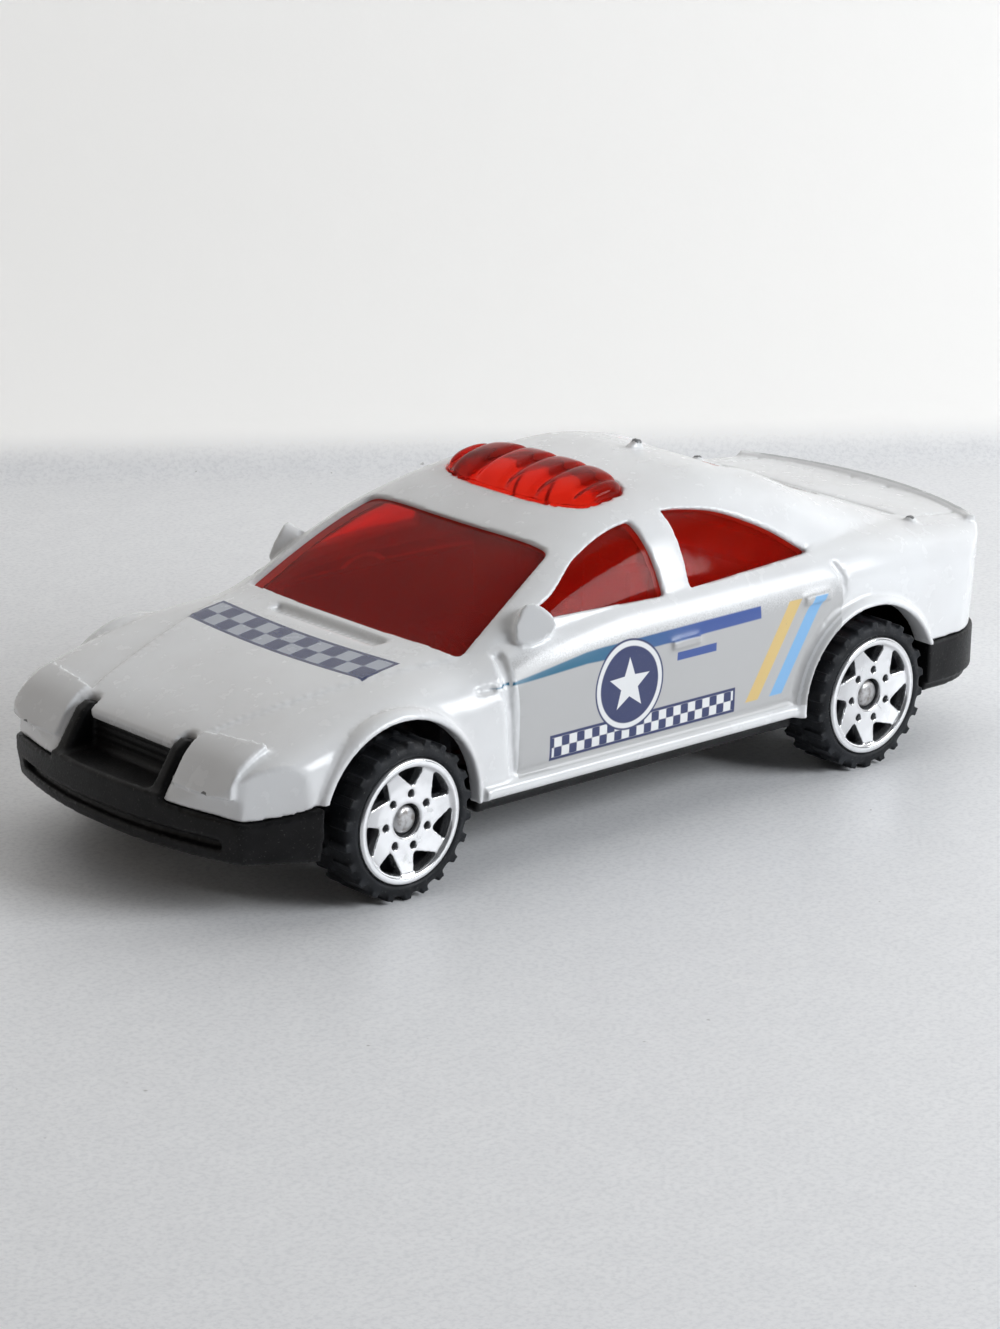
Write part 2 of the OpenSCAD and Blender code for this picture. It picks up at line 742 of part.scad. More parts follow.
module glazing() {
    row = beacon_lobes * lobe_pitch / 2;
    tip = beacon_length / 2 - 0.05;
    color([0.85, 0.1, 0.08, 0.6]) {
        difference() {
            cabin(glass_inset);
            cabin(glass_inset + glass_wall);
            translate([0, 0, glass_foot - beyond / 2])
                cube([2 * beyond, 2 * beyond, beyond], center = true);
            translate([deck_x - 1 - beyond, -beyond / 2, 0])
                cube([beyond, beyond, beyond]);
        }
        // The beacon's foot fills the slot in the roof
        intersection() {
            translate([0, 0, roof_height - 4])
                linear_extrude(beyond)
                    beacon_plan(0);
            difference() {
                cabin(-0.1);
                cabin(glass_inset + glass_wall / 2);
            }
        }
        for (i = [0 : beacon_lobes - 1])
            beacon_lobe(i * lobe_pitch - row, (i + 1) * lobe_pitch - row);
        for (side = [-1, 1])
            beacon_lobe(side * row, side * tip);
    }
}

// A rounded block for cushions, between two opposite corners
module cushion(low, high) {
    r = 0.5;
    hull()
        for (x = [low[0] + r, high[0] - r], y = [low[1] + r, high[1] - r], z = [low[2] + r, high[2] - r])
            translate([x, y, z])
                sphere(r, $fn = 8);
}
seat_y = 5.6;
seat_half = 2.6;
seat_x = -3.2;
module front_seat(side) {
    floor_z = tray_bottom + tray_wall - 0.1;
    y = [side * seat_y - seat_half, side * seat_y + seat_half];
    cushion([seat_x, y[0], floor_z], [seat_x + 6.6, y[1], floor_z + 2.6]);
    cushion([seat_x - 1.6, y[0], floor_z], [seat_x + 0.4, y[1], belt_height + 0.8]);
    cushion([seat_x - 1.6, y[0] + 1.2, belt_height - 0.4], [seat_x, y[1] - 1.2, belt_height + 2.2]);
}
dash_depth = 4.2;
steering_radius = 1.9;
// The tray's front corners are cut back beside the windscreen's pillars
corner_setback = 3;
corner_length = 16;
corner_depth = 2.4;
corner_turn = 22;
module interior_tray() {
    length = flange_front_x - flange_rear_x - 0.6;
    middle_x = (flange_front_x + flange_rear_x) / 2;
    front_x = middle_x + length / 2;
    rear_x = middle_x - length / 2;
    floor_z = tray_bottom + tray_wall - 0.1;
    color([0.16, 0.16, 0.17]) {
        difference() {
            translate([rear_x, -tray_side, tray_bottom])
                cube([length, 2 * tray_side, glass_foot - tray_bottom]);
            translate([rear_x + tray_wall, -tray_side + tray_wall, tray_bottom + tray_wall])
                cube([length - 2 * tray_wall, 2 * (tray_side - tray_wall), beyond]);
            for (side = [-1, 1])
                translate([front_x - corner_setback, side * tray_side, glass_foot])
                    rotate([0, 0, -side * corner_turn])
                        cube([corner_length, corner_depth, beyond], center = true);
        }
        // Tongues that keep the axles in their saddles
        translate([front_x - tray_wall, -3.4, tray_bottom])
            cube([front_axle_x + 2 - front_x + tray_wall, 6.8, tray_wall]);
        translate([rear_axle_x - 2, -3.4, tray_bottom])
            cube([rear_x + tray_wall - rear_axle_x + 2, 6.8, tray_wall]);
        // Rear shelf under the rear window
        translate([deck_x + 1.2, -(half_cabin - 2.4), glass_foot - tray_wall])
            cube([rear_x + tray_wall - deck_x - 1.2, 2 * (half_cabin - 2.4), tray_wall]);
        for (side = [-1, 1])
            front_seat(side);
        cushion([rear_x + 1.4, -tray_side + 1.4, floor_z], [rear_x + 6.2, tray_side - 1.4, floor_z + 2.6]);
        cushion([rear_x + 0.3, -tray_side + 1.4, floor_z], [rear_x + 2, tray_side - 1.4, belt_height + 0.4]);
        // Dashboard, column and steering wheel
        cushion([front_x - dash_depth, -tray_side + 2.6, floor_z],
            [front_x - 0.1, tray_side - 2.6, glass_foot - 0.4]);
        translate([front_x - dash_depth, seat_y, glass_foot - 1.2])
            rotate([0, -62, 0]) {
                cylinder(h = 1.6, r = 0.35, center = true, $fn = 12);
                translate([0, 0, 0.8])
                    rotate_extrude($fn = 24)
                        translate([steering_radius, 0])
                            circle(0.28, $fn = 8);
                translate([0, 0, 0.8])
                    cube([2 * steering_radius, 0.5, 0.3], center = true);
                translate([0, 0, 0.8])
                    cube([0.5, 2 * steering_radius, 0.3], center = true);
            }
    }
}

// The front bumper has a core behind two raised bands, and a groove shows between them
band_groove = 0.28;
groove_width = 0.3;
upper_band = 1.6;
module front_bumper() {
    split = front_bumper_top - upper_band;
    difference() {
        union() {
            translate([0, 0, bumper_bottom + 0.3])
                linear_extrude(front_bumper_top - bumper_bottom - 0.6)
                    nose_plan(band_groove, 0);
            translate([0, 0, bumper_bottom])
                linear_extrude(split - groove_width - bumper_bottom)
                    nose_plan(0, 0);
            translate([0, 0, split])
                linear_extrude(upper_band)
                    nose_plan(0, 0);
        }
        translate([0, 0, pan_top])
            linear_extrude(beyond)
                nose_plan(bumper_wall, 5);
        for (side = [-1, 1])
            translate([0, side * (upright_inner_y + upright_width + fit_gap + beyond / 2), 0])
                rotate([90, 0, 0])
                    linear_extrude(beyond, center = true)
                        polygon(concat(
                            bumper_top_line(0),
                            [[nose_x + 1, beyond], [front_bumper_back - 0.7, beyond]]
                        ));
    }
}
// The rear bumper is a plain slab
module rear_bumper() {
    difference() {
        translate([0, 0, bumper_bottom])
            linear_extrude(rear_bumper_top - bumper_bottom)
                tail_plan(bumper_reach, 0);
        translate([0, 0, pan_top])
            linear_extrude(beyond)
                tail_plan(bumper_reach + bumper_wall, 5);
    }
}
// Black grille: a ledge, a barred panel and two uprights that lean with the nose
module grille() {
    panel_x = nose_x - 4.1;
    panel_wall = 0.6;
    panel_top = hood_lip_height - 0.35;
    bar_pitch = (panel_top - front_bumper_top) / (grille_bars + 0.5);
    translate([panel_x, -upright_inner_y - 0.2, pan_top - 0.2])
        cube([panel_wall, 2 * upright_inner_y + 0.4, panel_top - pan_top + 0.2]);
    for (i = [0 : grille_bars - 1])
        translate([panel_x, -upright_inner_y - 0.2, front_bumper_top + (i + 0.5) * bar_pitch])
            cube([panel_wall + 0.25, 2 * upright_inner_y + 0.4, bar_pitch / 2]);
    translate([panel_x, -upright_inner_y - 0.2, front_bumper_top - 0.8])
        cube([nose_x - bumper_wall - panel_x, 2 * upright_inner_y + 0.4, 0.8]);
    for (side = [-1, 1])
        translate([0, side * (upright_inner_y + upright_width / 2), 0])
            rotate([90, 0, 0])
                linear_extrude(upright_width, center = true)
                    polygon([
                        [panel_x, front_bumper_top - 0.8], [nose_x - 0.9, front_bumper_top - 0.8],
                        [nose_x - 0.95, front_bumper_top + 0.4], [nose_x - 2.35, hood_lip_height],
                        [nose_x - 3.1, hood_lip_height + 0.45], [nose_x - 3.9, hood_lip_height + 0.3],
                        [panel_x, hood_lip_height - 0.5]
                    ]);
}
// Saddle blocks and wheel-well walls with open slots, in which an axle lies
saddle_half = 1.7;
saddle_inner_y = 5;
module saddles(x) {
    difference() {
        for (side = [-1, 1]) {
            translate([x - saddle_half, side > 0 ? saddle_inner_y : -pan_side, pan_top - 0.2])
                cube([2 * saddle_half, pan_side - saddle_inner_y, axle_z - pan_top + 0.9]);
            translate([x, side * (pan_side - well_wall / 2), axle_z])
                rotate([90, 0, 0])
                    intersection() {
                        cylinder(h = well_wall, r = well_radius, center = true);
                        translate([-well_radius, pan_top - axle_z - 0.2, -well_wall])
                            cube([2 * well_radius, 2 * well_radius, 2 * well_wall]);
                    }
        }
        translate([x, 0, axle_z])
            rotate([90, 0, 0])
                cylinder(h = beyond, r = axle_radius + axle_play, center = true);
        translate([x - axle_radius - axle_play, -beyond / 2, axle_z])
            cube([2 * (axle_radius + axle_play), beyond, beyond]);
    }
}
// Base: pan, flange under the doors, bumpers, grille, saddles and the bosses under the tray
module chassis_base() {
    pan_front = nose_x - 3.5;
    pan_rear = tail_x + 3.7;
    corner = 1.6;
    peg_inset = 4;
    color([0.07, 0.07, 0.08])
        difference() {
            union() {
                translate([0, 0, ride_height])
                    linear_extrude(pan_wall)
                        polygon([
                            [pan_rear, corner - pan_side], [pan_rear + corner, -pan_side],
                            [pan_front - corner, -pan_side], [pan_front, corner - pan_side],
                            [pan_front, pan_side - corner], [pan_front - corner, pan_side],
                            [pan_rear + corner, pan_side], [pan_rear, pan_side - corner]
                        ]);
                translate([flange_rear_x, -flange_side, bumper_bottom])
                    cube([flange_front_x - flange_rear_x, 2 * flange_side, flange_height]);
                front_bumper();
                rear_bumper();
                grille();
                saddles(front_axle_x);
                saddles(rear_axle_x);
                for (x = [front_post_x, rear_post_x])
                    translate([x, 0, pan_top - 0.2])
                        cylinder(h = post_foot - pan_top + 0.2, r = post_radius + 0.9);
                for (x = [flange_rear_x + peg_inset, flange_front_x - peg_inset], side = [-1, 1])
                    translate([x, side * (tray_side - peg_inset), pan_top])
                        cylinder(h = tray_bottom - pan_top, r = 1.2);
            }
            for (x = [front_post_x, rear_post_x])
                translate([x, 0, ride_height - 1]) {
                    cylinder(h = beyond / 4, r = shank_radius + fit_gap);
                    cylinder(h = 1 + rivet_depth, r = rivet_head_radius + fit_gap);
                }
        }
}

// A steel axle whose ends are headed over in the hubs
axle_half = wheel_inner_y + facing_seat + axle_end_play;
module axle(x) {
    color("silver")
        translate([x, 0, axle_z])
            rotate([90, 0, 0]) {
                cylinder(h = 2 * axle_half + axle_head_height, r = axle_radius, center = true);
                for (side = [-1, 1])
                    translate([0, 0, side * (axle_half + axle_head_height / 2)])
                        cylinder(h = axle_head_height, r = axle_head_radius, center = true);
            }
}
module front_axle() axle(front_axle_x);
module rear_axle() axle(rear_axle_x);

// Puts a wheel's outward axis along Y on its side of the car
module at_wheel(x, side) {
    translate([x, side * wheel_inner_y, axle_z])
        rotate([-side * 90, 0, 0])
            children();
}
// The dark openings between the spokes, as a pattern of rounded triangles
window_outer = facing_radius - 0.8;
window_inner = 2.5;
window_spread = 360 / spoke_count * 0.3;
window_swirl = 8;
module spoke_windows() {
    for (i = [0 : spoke_count - 1])
        rotate(360 / spoke_count * i)
            polygon(concat(
                [for (a = [-4, 4]) window_inner * [cos(a - window_swirl), sin(a - window_swirl)]],
                [for (t = [1, 0.5, 0, -0.5, -1])
                    window_outer * [cos(t * window_spread), sin(t * window_spread)]]
            ));
}
lug_dot_radius = 0.27;
lug_dot_circle = 1.78;
module lug_dots() {
    for (i = [0 : spoke_count - 1])
        rotate(360 / spoke_count * i - window_swirl)
            translate([lug_dot_circle, 0])
                circle(lug_dot_radius, $fn = 16);
}
// One wheel: a revolved tyre and web with raised lugs in two staggered rows
module wheel() {
    bore = axle_radius + axle_play;
    pocket = facing_radius + facing_fit;
    shoulder = 0.4;
    lug_length = tyre_width / 2 - 0.35;
    lug_foot = tread_radius - 0.3;
    lug_top = sqrt(tyre_radius * tyre_radius - lug_width * lug_width / 4);
    inner_row = 0.1;
    outer_row = tyre_width - lug_length - 0.1;
    color([0.09, 0.09, 0.1])
        difference() {
            union() {
                rotate_extrude()
                    polygon([
                        [bore, 0], [hub_radius, 0], [hub_radius, facing_seat - web_wall],
                        [facing_radius - 0.5, facing_seat - web_wall], [facing_radius - 0.2, 0.3],
                        [facing_radius + 0.2, 0], [tread_radius - shoulder, 0], [tread_radius, shoulder],
                        [tread_radius, tyre_width - shoulder], [tread_radius - shoulder, tyre_width],
                        [pocket + 0.2, tyre_width], [pocket, tyre_width - 0.15],
                        [pocket, facing_seat], [bore, facing_seat]
                    ]);
                for (row = [0, 1], i = [0 : lug_count - 1])
                    rotate(90 + 360 / lug_count * (i + row / 2))
                        translate([lug_foot, -lug_width / 2, row == 0 ? outer_row : inner_row])
                            cube([lug_top - lug_foot, lug_width, lug_length]);
            }
            translate([0, 0, facing_seat - window_pit])
                linear_extrude(beyond)
                    spoke_windows();
        }
}
// The bright facing: a dished disc with windows between its spokes, pressed into the wheel's front
module facing() {
    outer = tyre_width + facing_proud;
    color([0.85, 0.86, 0.88])
        difference() {
            rotate_extrude()
                polygon([
                    [hub_recess_radius, facing_seat], [facing_radius, facing_seat],
                    [facing_radius, outer - 0.15], [facing_radius - 0.15, outer],
                    [facing_radius - 0.6, outer], [facing_radius - 0.85, outer - 0.15],
                    [hub_recess_radius + 0.5, outer - facing_dish], [hub_recess_radius, outer - facing_dish]
                ]);
            translate([0, 0, -1])
                linear_extrude(beyond) {
                    spoke_windows();
                    lug_dots();
                }
        }
}
module wheel_front_left() at_wheel(front_axle_x, 1) wheel();
module wheel_front_right() at_wheel(front_axle_x, -1) wheel();
module wheel_rear_left() at_wheel(rear_axle_x, 1) wheel();
module wheel_rear_right() at_wheel(rear_axle_x, -1) wheel();
module facing_front_left() at_wheel(front_axle_x, 1) facing();
module facing_front_right() at_wheel(front_axle_x, -1) facing();
module facing_rear_left() at_wheel(rear_axle_x, 1) facing();
module facing_rear_right() at_wheel(rear_axle_x, -1) facing();

body_shell();
glazing();
interior_tray();
chassis_base();
front_axle();
rear_axle();
wheel_front_left();
wheel_front_right();
wheel_rear_left();
wheel_rear_right();
facing_front_left();
facing_front_right();
facing_rear_left();
facing_rear_right();
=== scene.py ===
import bpy
import math
import numpy as np
from mathutils import Matrix, Vector


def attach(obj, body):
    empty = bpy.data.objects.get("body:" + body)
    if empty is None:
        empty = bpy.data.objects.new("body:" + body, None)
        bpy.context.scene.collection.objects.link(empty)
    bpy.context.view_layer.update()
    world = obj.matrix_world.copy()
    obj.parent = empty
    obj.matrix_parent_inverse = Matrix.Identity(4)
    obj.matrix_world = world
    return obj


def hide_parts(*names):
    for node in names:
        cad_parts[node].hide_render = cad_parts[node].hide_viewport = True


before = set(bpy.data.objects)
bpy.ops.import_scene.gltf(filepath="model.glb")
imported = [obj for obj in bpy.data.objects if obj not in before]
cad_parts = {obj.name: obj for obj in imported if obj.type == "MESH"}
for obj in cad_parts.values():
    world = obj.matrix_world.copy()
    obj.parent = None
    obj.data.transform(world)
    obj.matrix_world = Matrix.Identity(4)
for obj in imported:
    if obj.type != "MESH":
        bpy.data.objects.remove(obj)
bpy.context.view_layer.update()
print("frame loaded:", len(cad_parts), "nodes")

mm = 0.001  # the sizes below are in millimetres, the frame is in metres
sides = (-1, 1)  # the car's right and left
clear = 40  # reach of a cut that runs clear of the car

# the car's main lines: x forward from the middle, y to the left, z up from the ground
car = {
    "noseX": 37.2, "tailX": -37.2, "frontAxleX": 23.3988, "rearAxleX": -20.6014, "axleZ": 5.5,
    "halfBody": 14.75, "halfCabin": 13.35, "sill": 5.1, "belt": 15.6, "roof": 22.3,
    "cowlX": 16.3, "cowlZ": 14.6, "screenTopX": 6.2, "backTopX": -13.2, "backLowX": -24.6,
    "deckX": -26.8, "deckZ": 16.4, "hoodLipZ": 10.3, "tumblehome": 0.3, "roofPower": 5.5,
    "bumperReach": 0.25, "bumperSide": 0.15, "frontBumperBack": 30.15, "frontBumperTop": 7.7,
    "noseCornerY": 12.15, "noseBow": 0.01222, "noseBowPower": 2.08,
    "rearBumperBack": -27.35, "rearBumperTop": 8.0, "tailPower": 3, "rivetX": (30.4, -30.2),
    "archRadius": 6.65, "wheelInnerY": 11.2, "tyreWidth": 4.2,
    "windowFrontX": 13.0, "windowRearX": -16.2, "pillarX": -1.4, "pillarWidth": 2.5,
    "beaconX": -1.1, "beaconLength": 14.8, "beaconWidth": 6.0, "beaconPower": 3.4,
}
c = car


# modelling helpers


def begin():
    if bpy.context.object and bpy.context.object.mode != "OBJECT":
        bpy.ops.object.mode_set(mode="OBJECT")
    bpy.ops.object.select_all(action="DESELECT")


def focus(piece):
    begin()
    piece.select_set(True)
    bpy.context.view_layer.objects.active = piece


def place(piece, points):
    piece.data.vertices.foreach_set("co", (np.asarray(points, float) * mm).ravel())
    piece.data.update()


def corners(piece):
    return np.array([v.co for v in piece.data.vertices])


def added(name, points=None):
    # the primitive that was just added, with its points moved
    piece = bpy.context.object
    piece.name = name
    if points is not None:
        place(piece, points)
    return piece


def outward(piece, merge=False):
    focus(piece)
    bpy.ops.object.mode_set(mode="EDIT")
    bpy.ops.mesh.select_all(action="SELECT")
    if merge:
        bpy.ops.mesh.remove_doubles(threshold=1e-6)
    bpy.ops.mesh.normals_make_consistent(inside=False)
    bpy.ops.object.mode_set(mode="OBJECT")
    return piece


def prism(name, outline, along):
    begin()
    bpy.ops.mesh.primitive_circle_add(vertices=len(outline), fill_type="NGON")
    piece = added(name, outline)
    bpy.ops.object.mode_set(mode="EDIT")
    bpy.ops.mesh.select_all(action="SELECT")
    bpy.ops.mesh.extrude_region_move(TRANSFORM_OT_translate={"value": Vector(along) * mm})
    return outward(piece)


def loft(name, rings):
    # rings: stations x points x 3; the open lower side and both ends are closed
    rings = np.asarray(rings, float)
    stations, points = rings.shape[:2]
    begin()
    bpy.ops.mesh.primitive_grid_add(x_subdivisions=points - 1, y_subdivisions=stations - 1)
    piece = added(name, rings.reshape(-1, 3))
    column = np.arange(stations * points) % points
    bpy.ops.object.mode_set(mode="EDIT")
    bpy.ops.mesh.select_mode(type="EDGE")
    bpy.ops.mesh.select_all(action="DESELECT")
    bpy.ops.object.mode_set(mode="OBJECT")
    for edge in piece.data.edges:
        first, second = column[list(edge.vertices)]
        edge.select = bool(first == second and first in (0, points - 1))
    bpy.ops.object.mode_set(mode="EDIT")
    bpy.ops.mesh.bridge_edge_loops()
    bpy.ops.mesh.select_all(action="DESELECT")
    bpy.ops.mesh.select_non_manifold()
    bpy.ops.mesh.fill_holes(sides=0)
    return outward(piece)


def modify(piece, kind, **settings):
    focus(piece)
    step = piece.modifiers.new(kind.lower(), kind)
    for key, value in settings.items():
        setattr(step, key, value)
    bpy.ops.object.modifier_apply(modifier=step.name)


def carve(piece, tool, how="DIFFERENCE"):
    modify(piece, "BOOLEAN", operation=how, object=tool, solver="MANIFOLD")
    bpy.data.objects.remove(tool)
    return piece


def unite(piece, tool):
    return carve(piece, tool, "UNION")


casting = {"smoothing": 0.5, "evenRounds": 30, "widening": 5, "levelAngle": 5.0}


def evenOut(piece):
    # smooths the broad faces and leaves edges and grooves as they are
    mesh = piece.data
    normals = np.empty(3 * len(mesh.vertices), np.float32)
    edges = np.empty(2 * len(mesh.edges), np.int32)
    mesh.vertices.foreach_get("normal", normals)
    mesh.edges.foreach_get("vertices", edges)
    normals, edges = normals.reshape(-1, 3), edges.reshape(-1, 2)
    wide = normals
    for step in range(casting["widening"]):
        total = wide.copy()
        np.add.at(total, edges[:, 0], wide[edges[:, 1]])
        np.add.at(total, edges[:, 1], wide[edges[:, 0]])
        wide = total / np.linalg.norm(total, axis=1, keepdims=True)
    level = (normals * wide).sum(1) > math.cos(math.radians(casting["levelAngle"]))
    group = piece.vertex_groups.new(name="broadFaces")
    group.add(np.flatnonzero(level).tolist(), 1.0, "REPLACE")
    modify(piece, "SMOOTH", factor=casting["smoothing"], iterations=casting["evenRounds"], vertex_group=group.name)
    piece.vertex_groups.clear()


def softCast(piece, settings):
    # one skin with the rounded edges of a casting
    modify(piece, "REMESH", mode="VOXEL", voxel_size=settings["voxel"] * mm, use_smooth_shade=True)
    modify(piece, "SMOOTH", factor=casting["smoothing"], iterations=settings["softening"])
    evenOut(piece)
    share = settings["triangles"] / (2 * len(piece.data.polygons))
    modify(piece, "DECIMATE", ratio=min(1.0, share), use_collapse_triangulate=True)
    bpy.ops.object.shade_smooth()
    print(piece.name, "cast:", len(piece.data.polygons), "faces")


def box(name, low, high):
    begin()
    low, high = np.array(low, float), np.array(high, float)
    bpy.ops.mesh.primitive_cube_add(size=1)
    piece = added(name)
    place(piece, (low + high) / 2 + corners(piece) * (high - low))
    return piece


def ball(name, centre, radii, segments=24):
    begin()
    bpy.ops.mesh.primitive_uv_sphere_add(segments=segments, ring_count=segments // 2, radius=1)
    piece = added(name)
    place(piece, np.array(centre) + corners(piece) * np.array(radii))
    return piece


def tube(name, path, radius):
    # a round bar along a path, as a curve made into a mesh
    begin()
    line = bpy.data.curves.new(name, "CURVE")
    line.dimensions = "3D"
    line.bevel_depth = radius * mm
    line.bevel_resolution = 3
    line.use_fill_caps = True
    spline = line.splines.new("POLY")
    spline.points.add(len(path) - 1)
    for point, where in zip(spline.points, path):
        point.co = (*(np.array(where, float) * mm), 1)
    piece = bpy.data.objects.new(name, line)
    bpy.context.scene.collection.objects.link(piece)
    focus(piece)
    bpy.ops.object.convert(target="MESH")
    return outward(bpy.context.object, merge=True)


def spun(name, profile, steps, centre):
    # a closed profile of (radius, along Y) turned about Y
    begin()
    bpy.ops.mesh.primitive_circle_add(vertices=len(profile), fill_type="NOTHING")
    piece = added(name, [(r, y, 0) for r, y in profile])
    bpy.ops.object.mode_set(mode="EDIT")
    bpy.ops.mesh.select_all(action="SELECT")
    bpy.ops.mesh.spin(steps=steps, angle=2 * math.pi, center=(0, 0, 0), axis=(0, 1, 0))
    outward(piece, merge=True)
    piece.data.transform(Matrix.Translation(Vector(centre) * mm))
    return piece


def joined(pieces):
    begin()
    for piece in pieces:
        piece.select_set(True)
    bpy.context.view_layer.objects.active = pieces[0]
    bpy.ops.object.join()
    return pieces[0]


def circle(count):
    a = np.radians(np.linspace(0, 360, count, endpoint=False))
    return np.column_stack([np.cos(a), np.sin(a)])


def flat(outline, z):
    return np.column_stack([outline, np.full(len(outline), z)])


def upright(outline, y):
    outline = np.asarray(outline, float)
    return np.column_stack([outline[:, 0], np.full(len(outline), y), outline[:, 1]])


def rounded(outline, radius, steps=6):
    # a closed outline with its corners rounded
    outline = np.asarray(outline, float)
    points = []
    for i, corner in enumerate(outline):
        before, after = outline[i - 1] - corner, outline[(i + 1) % len(outline)] - corner
        reach = min(radius, np.linalg.norm(before) / 2.1, np.linalg.norm(after) / 2.1)
        p = corner + before / np.linalg.norm(before) * reach
        q = corner + after / np.linalg.norm(after) * reach
        for t in np.linspace(0, 1, steps):
            points.append(p * (1 - t) ** 2 + 2 * corner * t * (1 - t) + q * t * t)
    return np.array(points)


def signedPower(v, e):
    return np.sign(v) * np.abs(v) ** e


# curves of the car


def smoothLine(points):
    # a curve through the points that never overshoots them
    x, y = np.array(points, float).T
    step = np.diff(x)
    slope = np.diff(y) / step
    lean = np.concatenate([slope[:1], np.zeros(len(x) - 2), slope[-1:]])
    for i in range(1, len(x) - 1):
        if slope[i - 1] * slope[i] > 0:
            lean[i] = 2 / (1 / slope[i - 1] + 1 / slope[i])

    def at(v):
        v = np.asarray(v, float)
        i = np.clip(np.searchsorted(x, v, side="right") - 1, 0, len(x) - 2)
        t = (v - x[i]) / step[i]
        return (y[i] * (1 + 2 * t) * (1 - t) ** 2 + step[i] * lean[i] * t * (1 - t) ** 2
                + y[i + 1] * t * t * (3 - 2 * t) - step[i] * lean[i + 1] * t * t * (1 - t))
    return at


crownLine = smoothLine([
    (c["tailX"] - 1, c["deckZ"] - 1.1), (c["tailX"] + 3.5, c["deckZ"] - 0.5), (c["deckX"] - 1.2, c["deckZ"]),
    (c["rearAxleX"], c["belt"] + 1.5), (0, c["belt"] + 1.6), (c["cowlX"] - 6, c["cowlZ"] + 1.5),
    (c["cowlX"], c["cowlZ"] - 0.22), (c["frontAxleX"], c["cowlZ"] - 1.37),
    (c["noseX"] - 7.2, c["hoodLipZ"] + 1.58), (c["noseX"] - 4.2, c["hoodLipZ"] + 0.68),
    (c["noseX"] - 2.6, c["hoodLipZ"] - 0.22), (c["noseX"] - 1.2, c["frontBumperTop"] + 0.3),
    (c["noseX"] + 0.2, c["sill"] + 0.4)])
widthLine = smoothLine([
    (c["tailX"] - 1, c["halfBody"] - 1.6), (c["tailX"] + 6, c["halfBody"] - 0.5),
    (c["rearAxleX"], c["halfBody"] + 0.1), (0, c["halfBody"]), (c["cowlX"] - 2, c["halfBody"] - 0.05),
    (c["frontAxleX"], c["halfBody"] - 0.4), (c["noseX"] - 5, c["halfBody"] - 0.55),
    (c["noseX"] + 1, c["halfBody"] - 1.1)])
shoulderLine = smoothLine([
    (c["tailX"] - 1, 9), (c["rearAxleX"], 8), (0, 6.5), (c["cowlX"] - 4, 6.5), (c["cowlX"], 5.8),
    (c["frontAxleX"], 9.5), (c["noseX"] + 1, 7)])
roofLine = smoothLine([
    (c["deckX"] - 8, c["deckZ"] - 4.4), (c["deckX"] - 1, c["deckZ"] + 0.1),
    ((c["deckX"] + c["backTopX"]) / 2, (c["deckZ"] + c["roof"]) / 2), (c["backTopX"] - 1.8, c["roof"] - 0.85),
    (c["beaconX"] - 8, c["roof"]), (c["beaconX"] - 2, c["roof"] - 0.25), (c["screenTopX"] - 0.8, c["roof"] - 2.2),
    (c["cowlX"] - 0.3, c["cowlZ"] - 0.2), (c["cowlX"] + 4.5, c["cowlZ"] - 3)])
cabinLine = smoothLine([
    (c["deckX"] - 8, c["halfCabin"] - 2.6), (c["deckX"], c["halfCabin"] - 1.7),
    (c["windowRearX"], c["halfCabin"] - 0.5), (0, c["halfCabin"]), (c["cowlX"] - 7, c["halfCabin"] - 0.35),
    (c["cowlX"], c["halfCabin"] - 1.35), (c["cowlX"] + 5, c["halfCabin"] - 2.2)])
cornerLine = smoothLine([
    (c["deckX"] - 8, 7), (c["deckX"] + 4, 6.5), (c["backTopX"], 5), (c["beaconX"] - 4, 4.2),
    (c["screenTopX"], 5.2), (c["cowlX"] + 5, 5.6)])
daylightLine = smoothLine([
    (c["windowRearX"], c["belt"] + 0.8), (c["windowRearX"] + 4.2, c["belt"] + 3.3),
    (c["pillarX"] - 6.1, c["roof"] - 1.75), (c["pillarX"] - 2.6, c["roof"] - 1.4),
    (c["pillarX"] + 1.4, c["roof"] - 1.75), (c["windowFrontX"] - 8.2, c["belt"] + 3.6),
    (c["windowFrontX"] - 4.3, c["belt"] + 1.45), (c["windowFrontX"], c["belt"])])
cabinFoot = c["belt"] - 3.6


def sideAt(x, z):
    # half width of the lower body at a height
    power = shoulderLine(x)
    t = (z - c["sill"]) / (crownLine(x) - c["sill"])
    return widthLine(x) * (1 - np.clip(t, 0, 1) ** power) ** (1 / power)


def crownAt(x, y):
    # height of the lower body at a distance from the centre line
    power = shoulderLine(x)
    return c["sill"] + (crownLine(x) - c["sill"]) * (1 - (np.abs(y) / widthLine(x)) ** power) ** (1 / power)


def roofAt(x, y):
    width = cabinLine(x) - c["tumblehome"] * (roofLine(x) - c["belt"])
    rise = (1 - (np.abs(y) / width) ** cornerLine(x)) ** (1 / c["roofPower"])
    return cabinFoot + (roofLine(x) - cabinFoot) * rise


def cabinSideAt(x, z):
    # half width of the cabin at a height
    rise = ((z - cabinFoot) / (roofLine(x) - cabinFoot)).clip(0, 0.999) ** (c["roofPower"] / 2)
    return (cabinLine(x) - c["tumblehome"] * (z - c["belt"]).clip(0)) * np.sqrt(1 - rise ** 2) ** (2 / cornerLine(x))


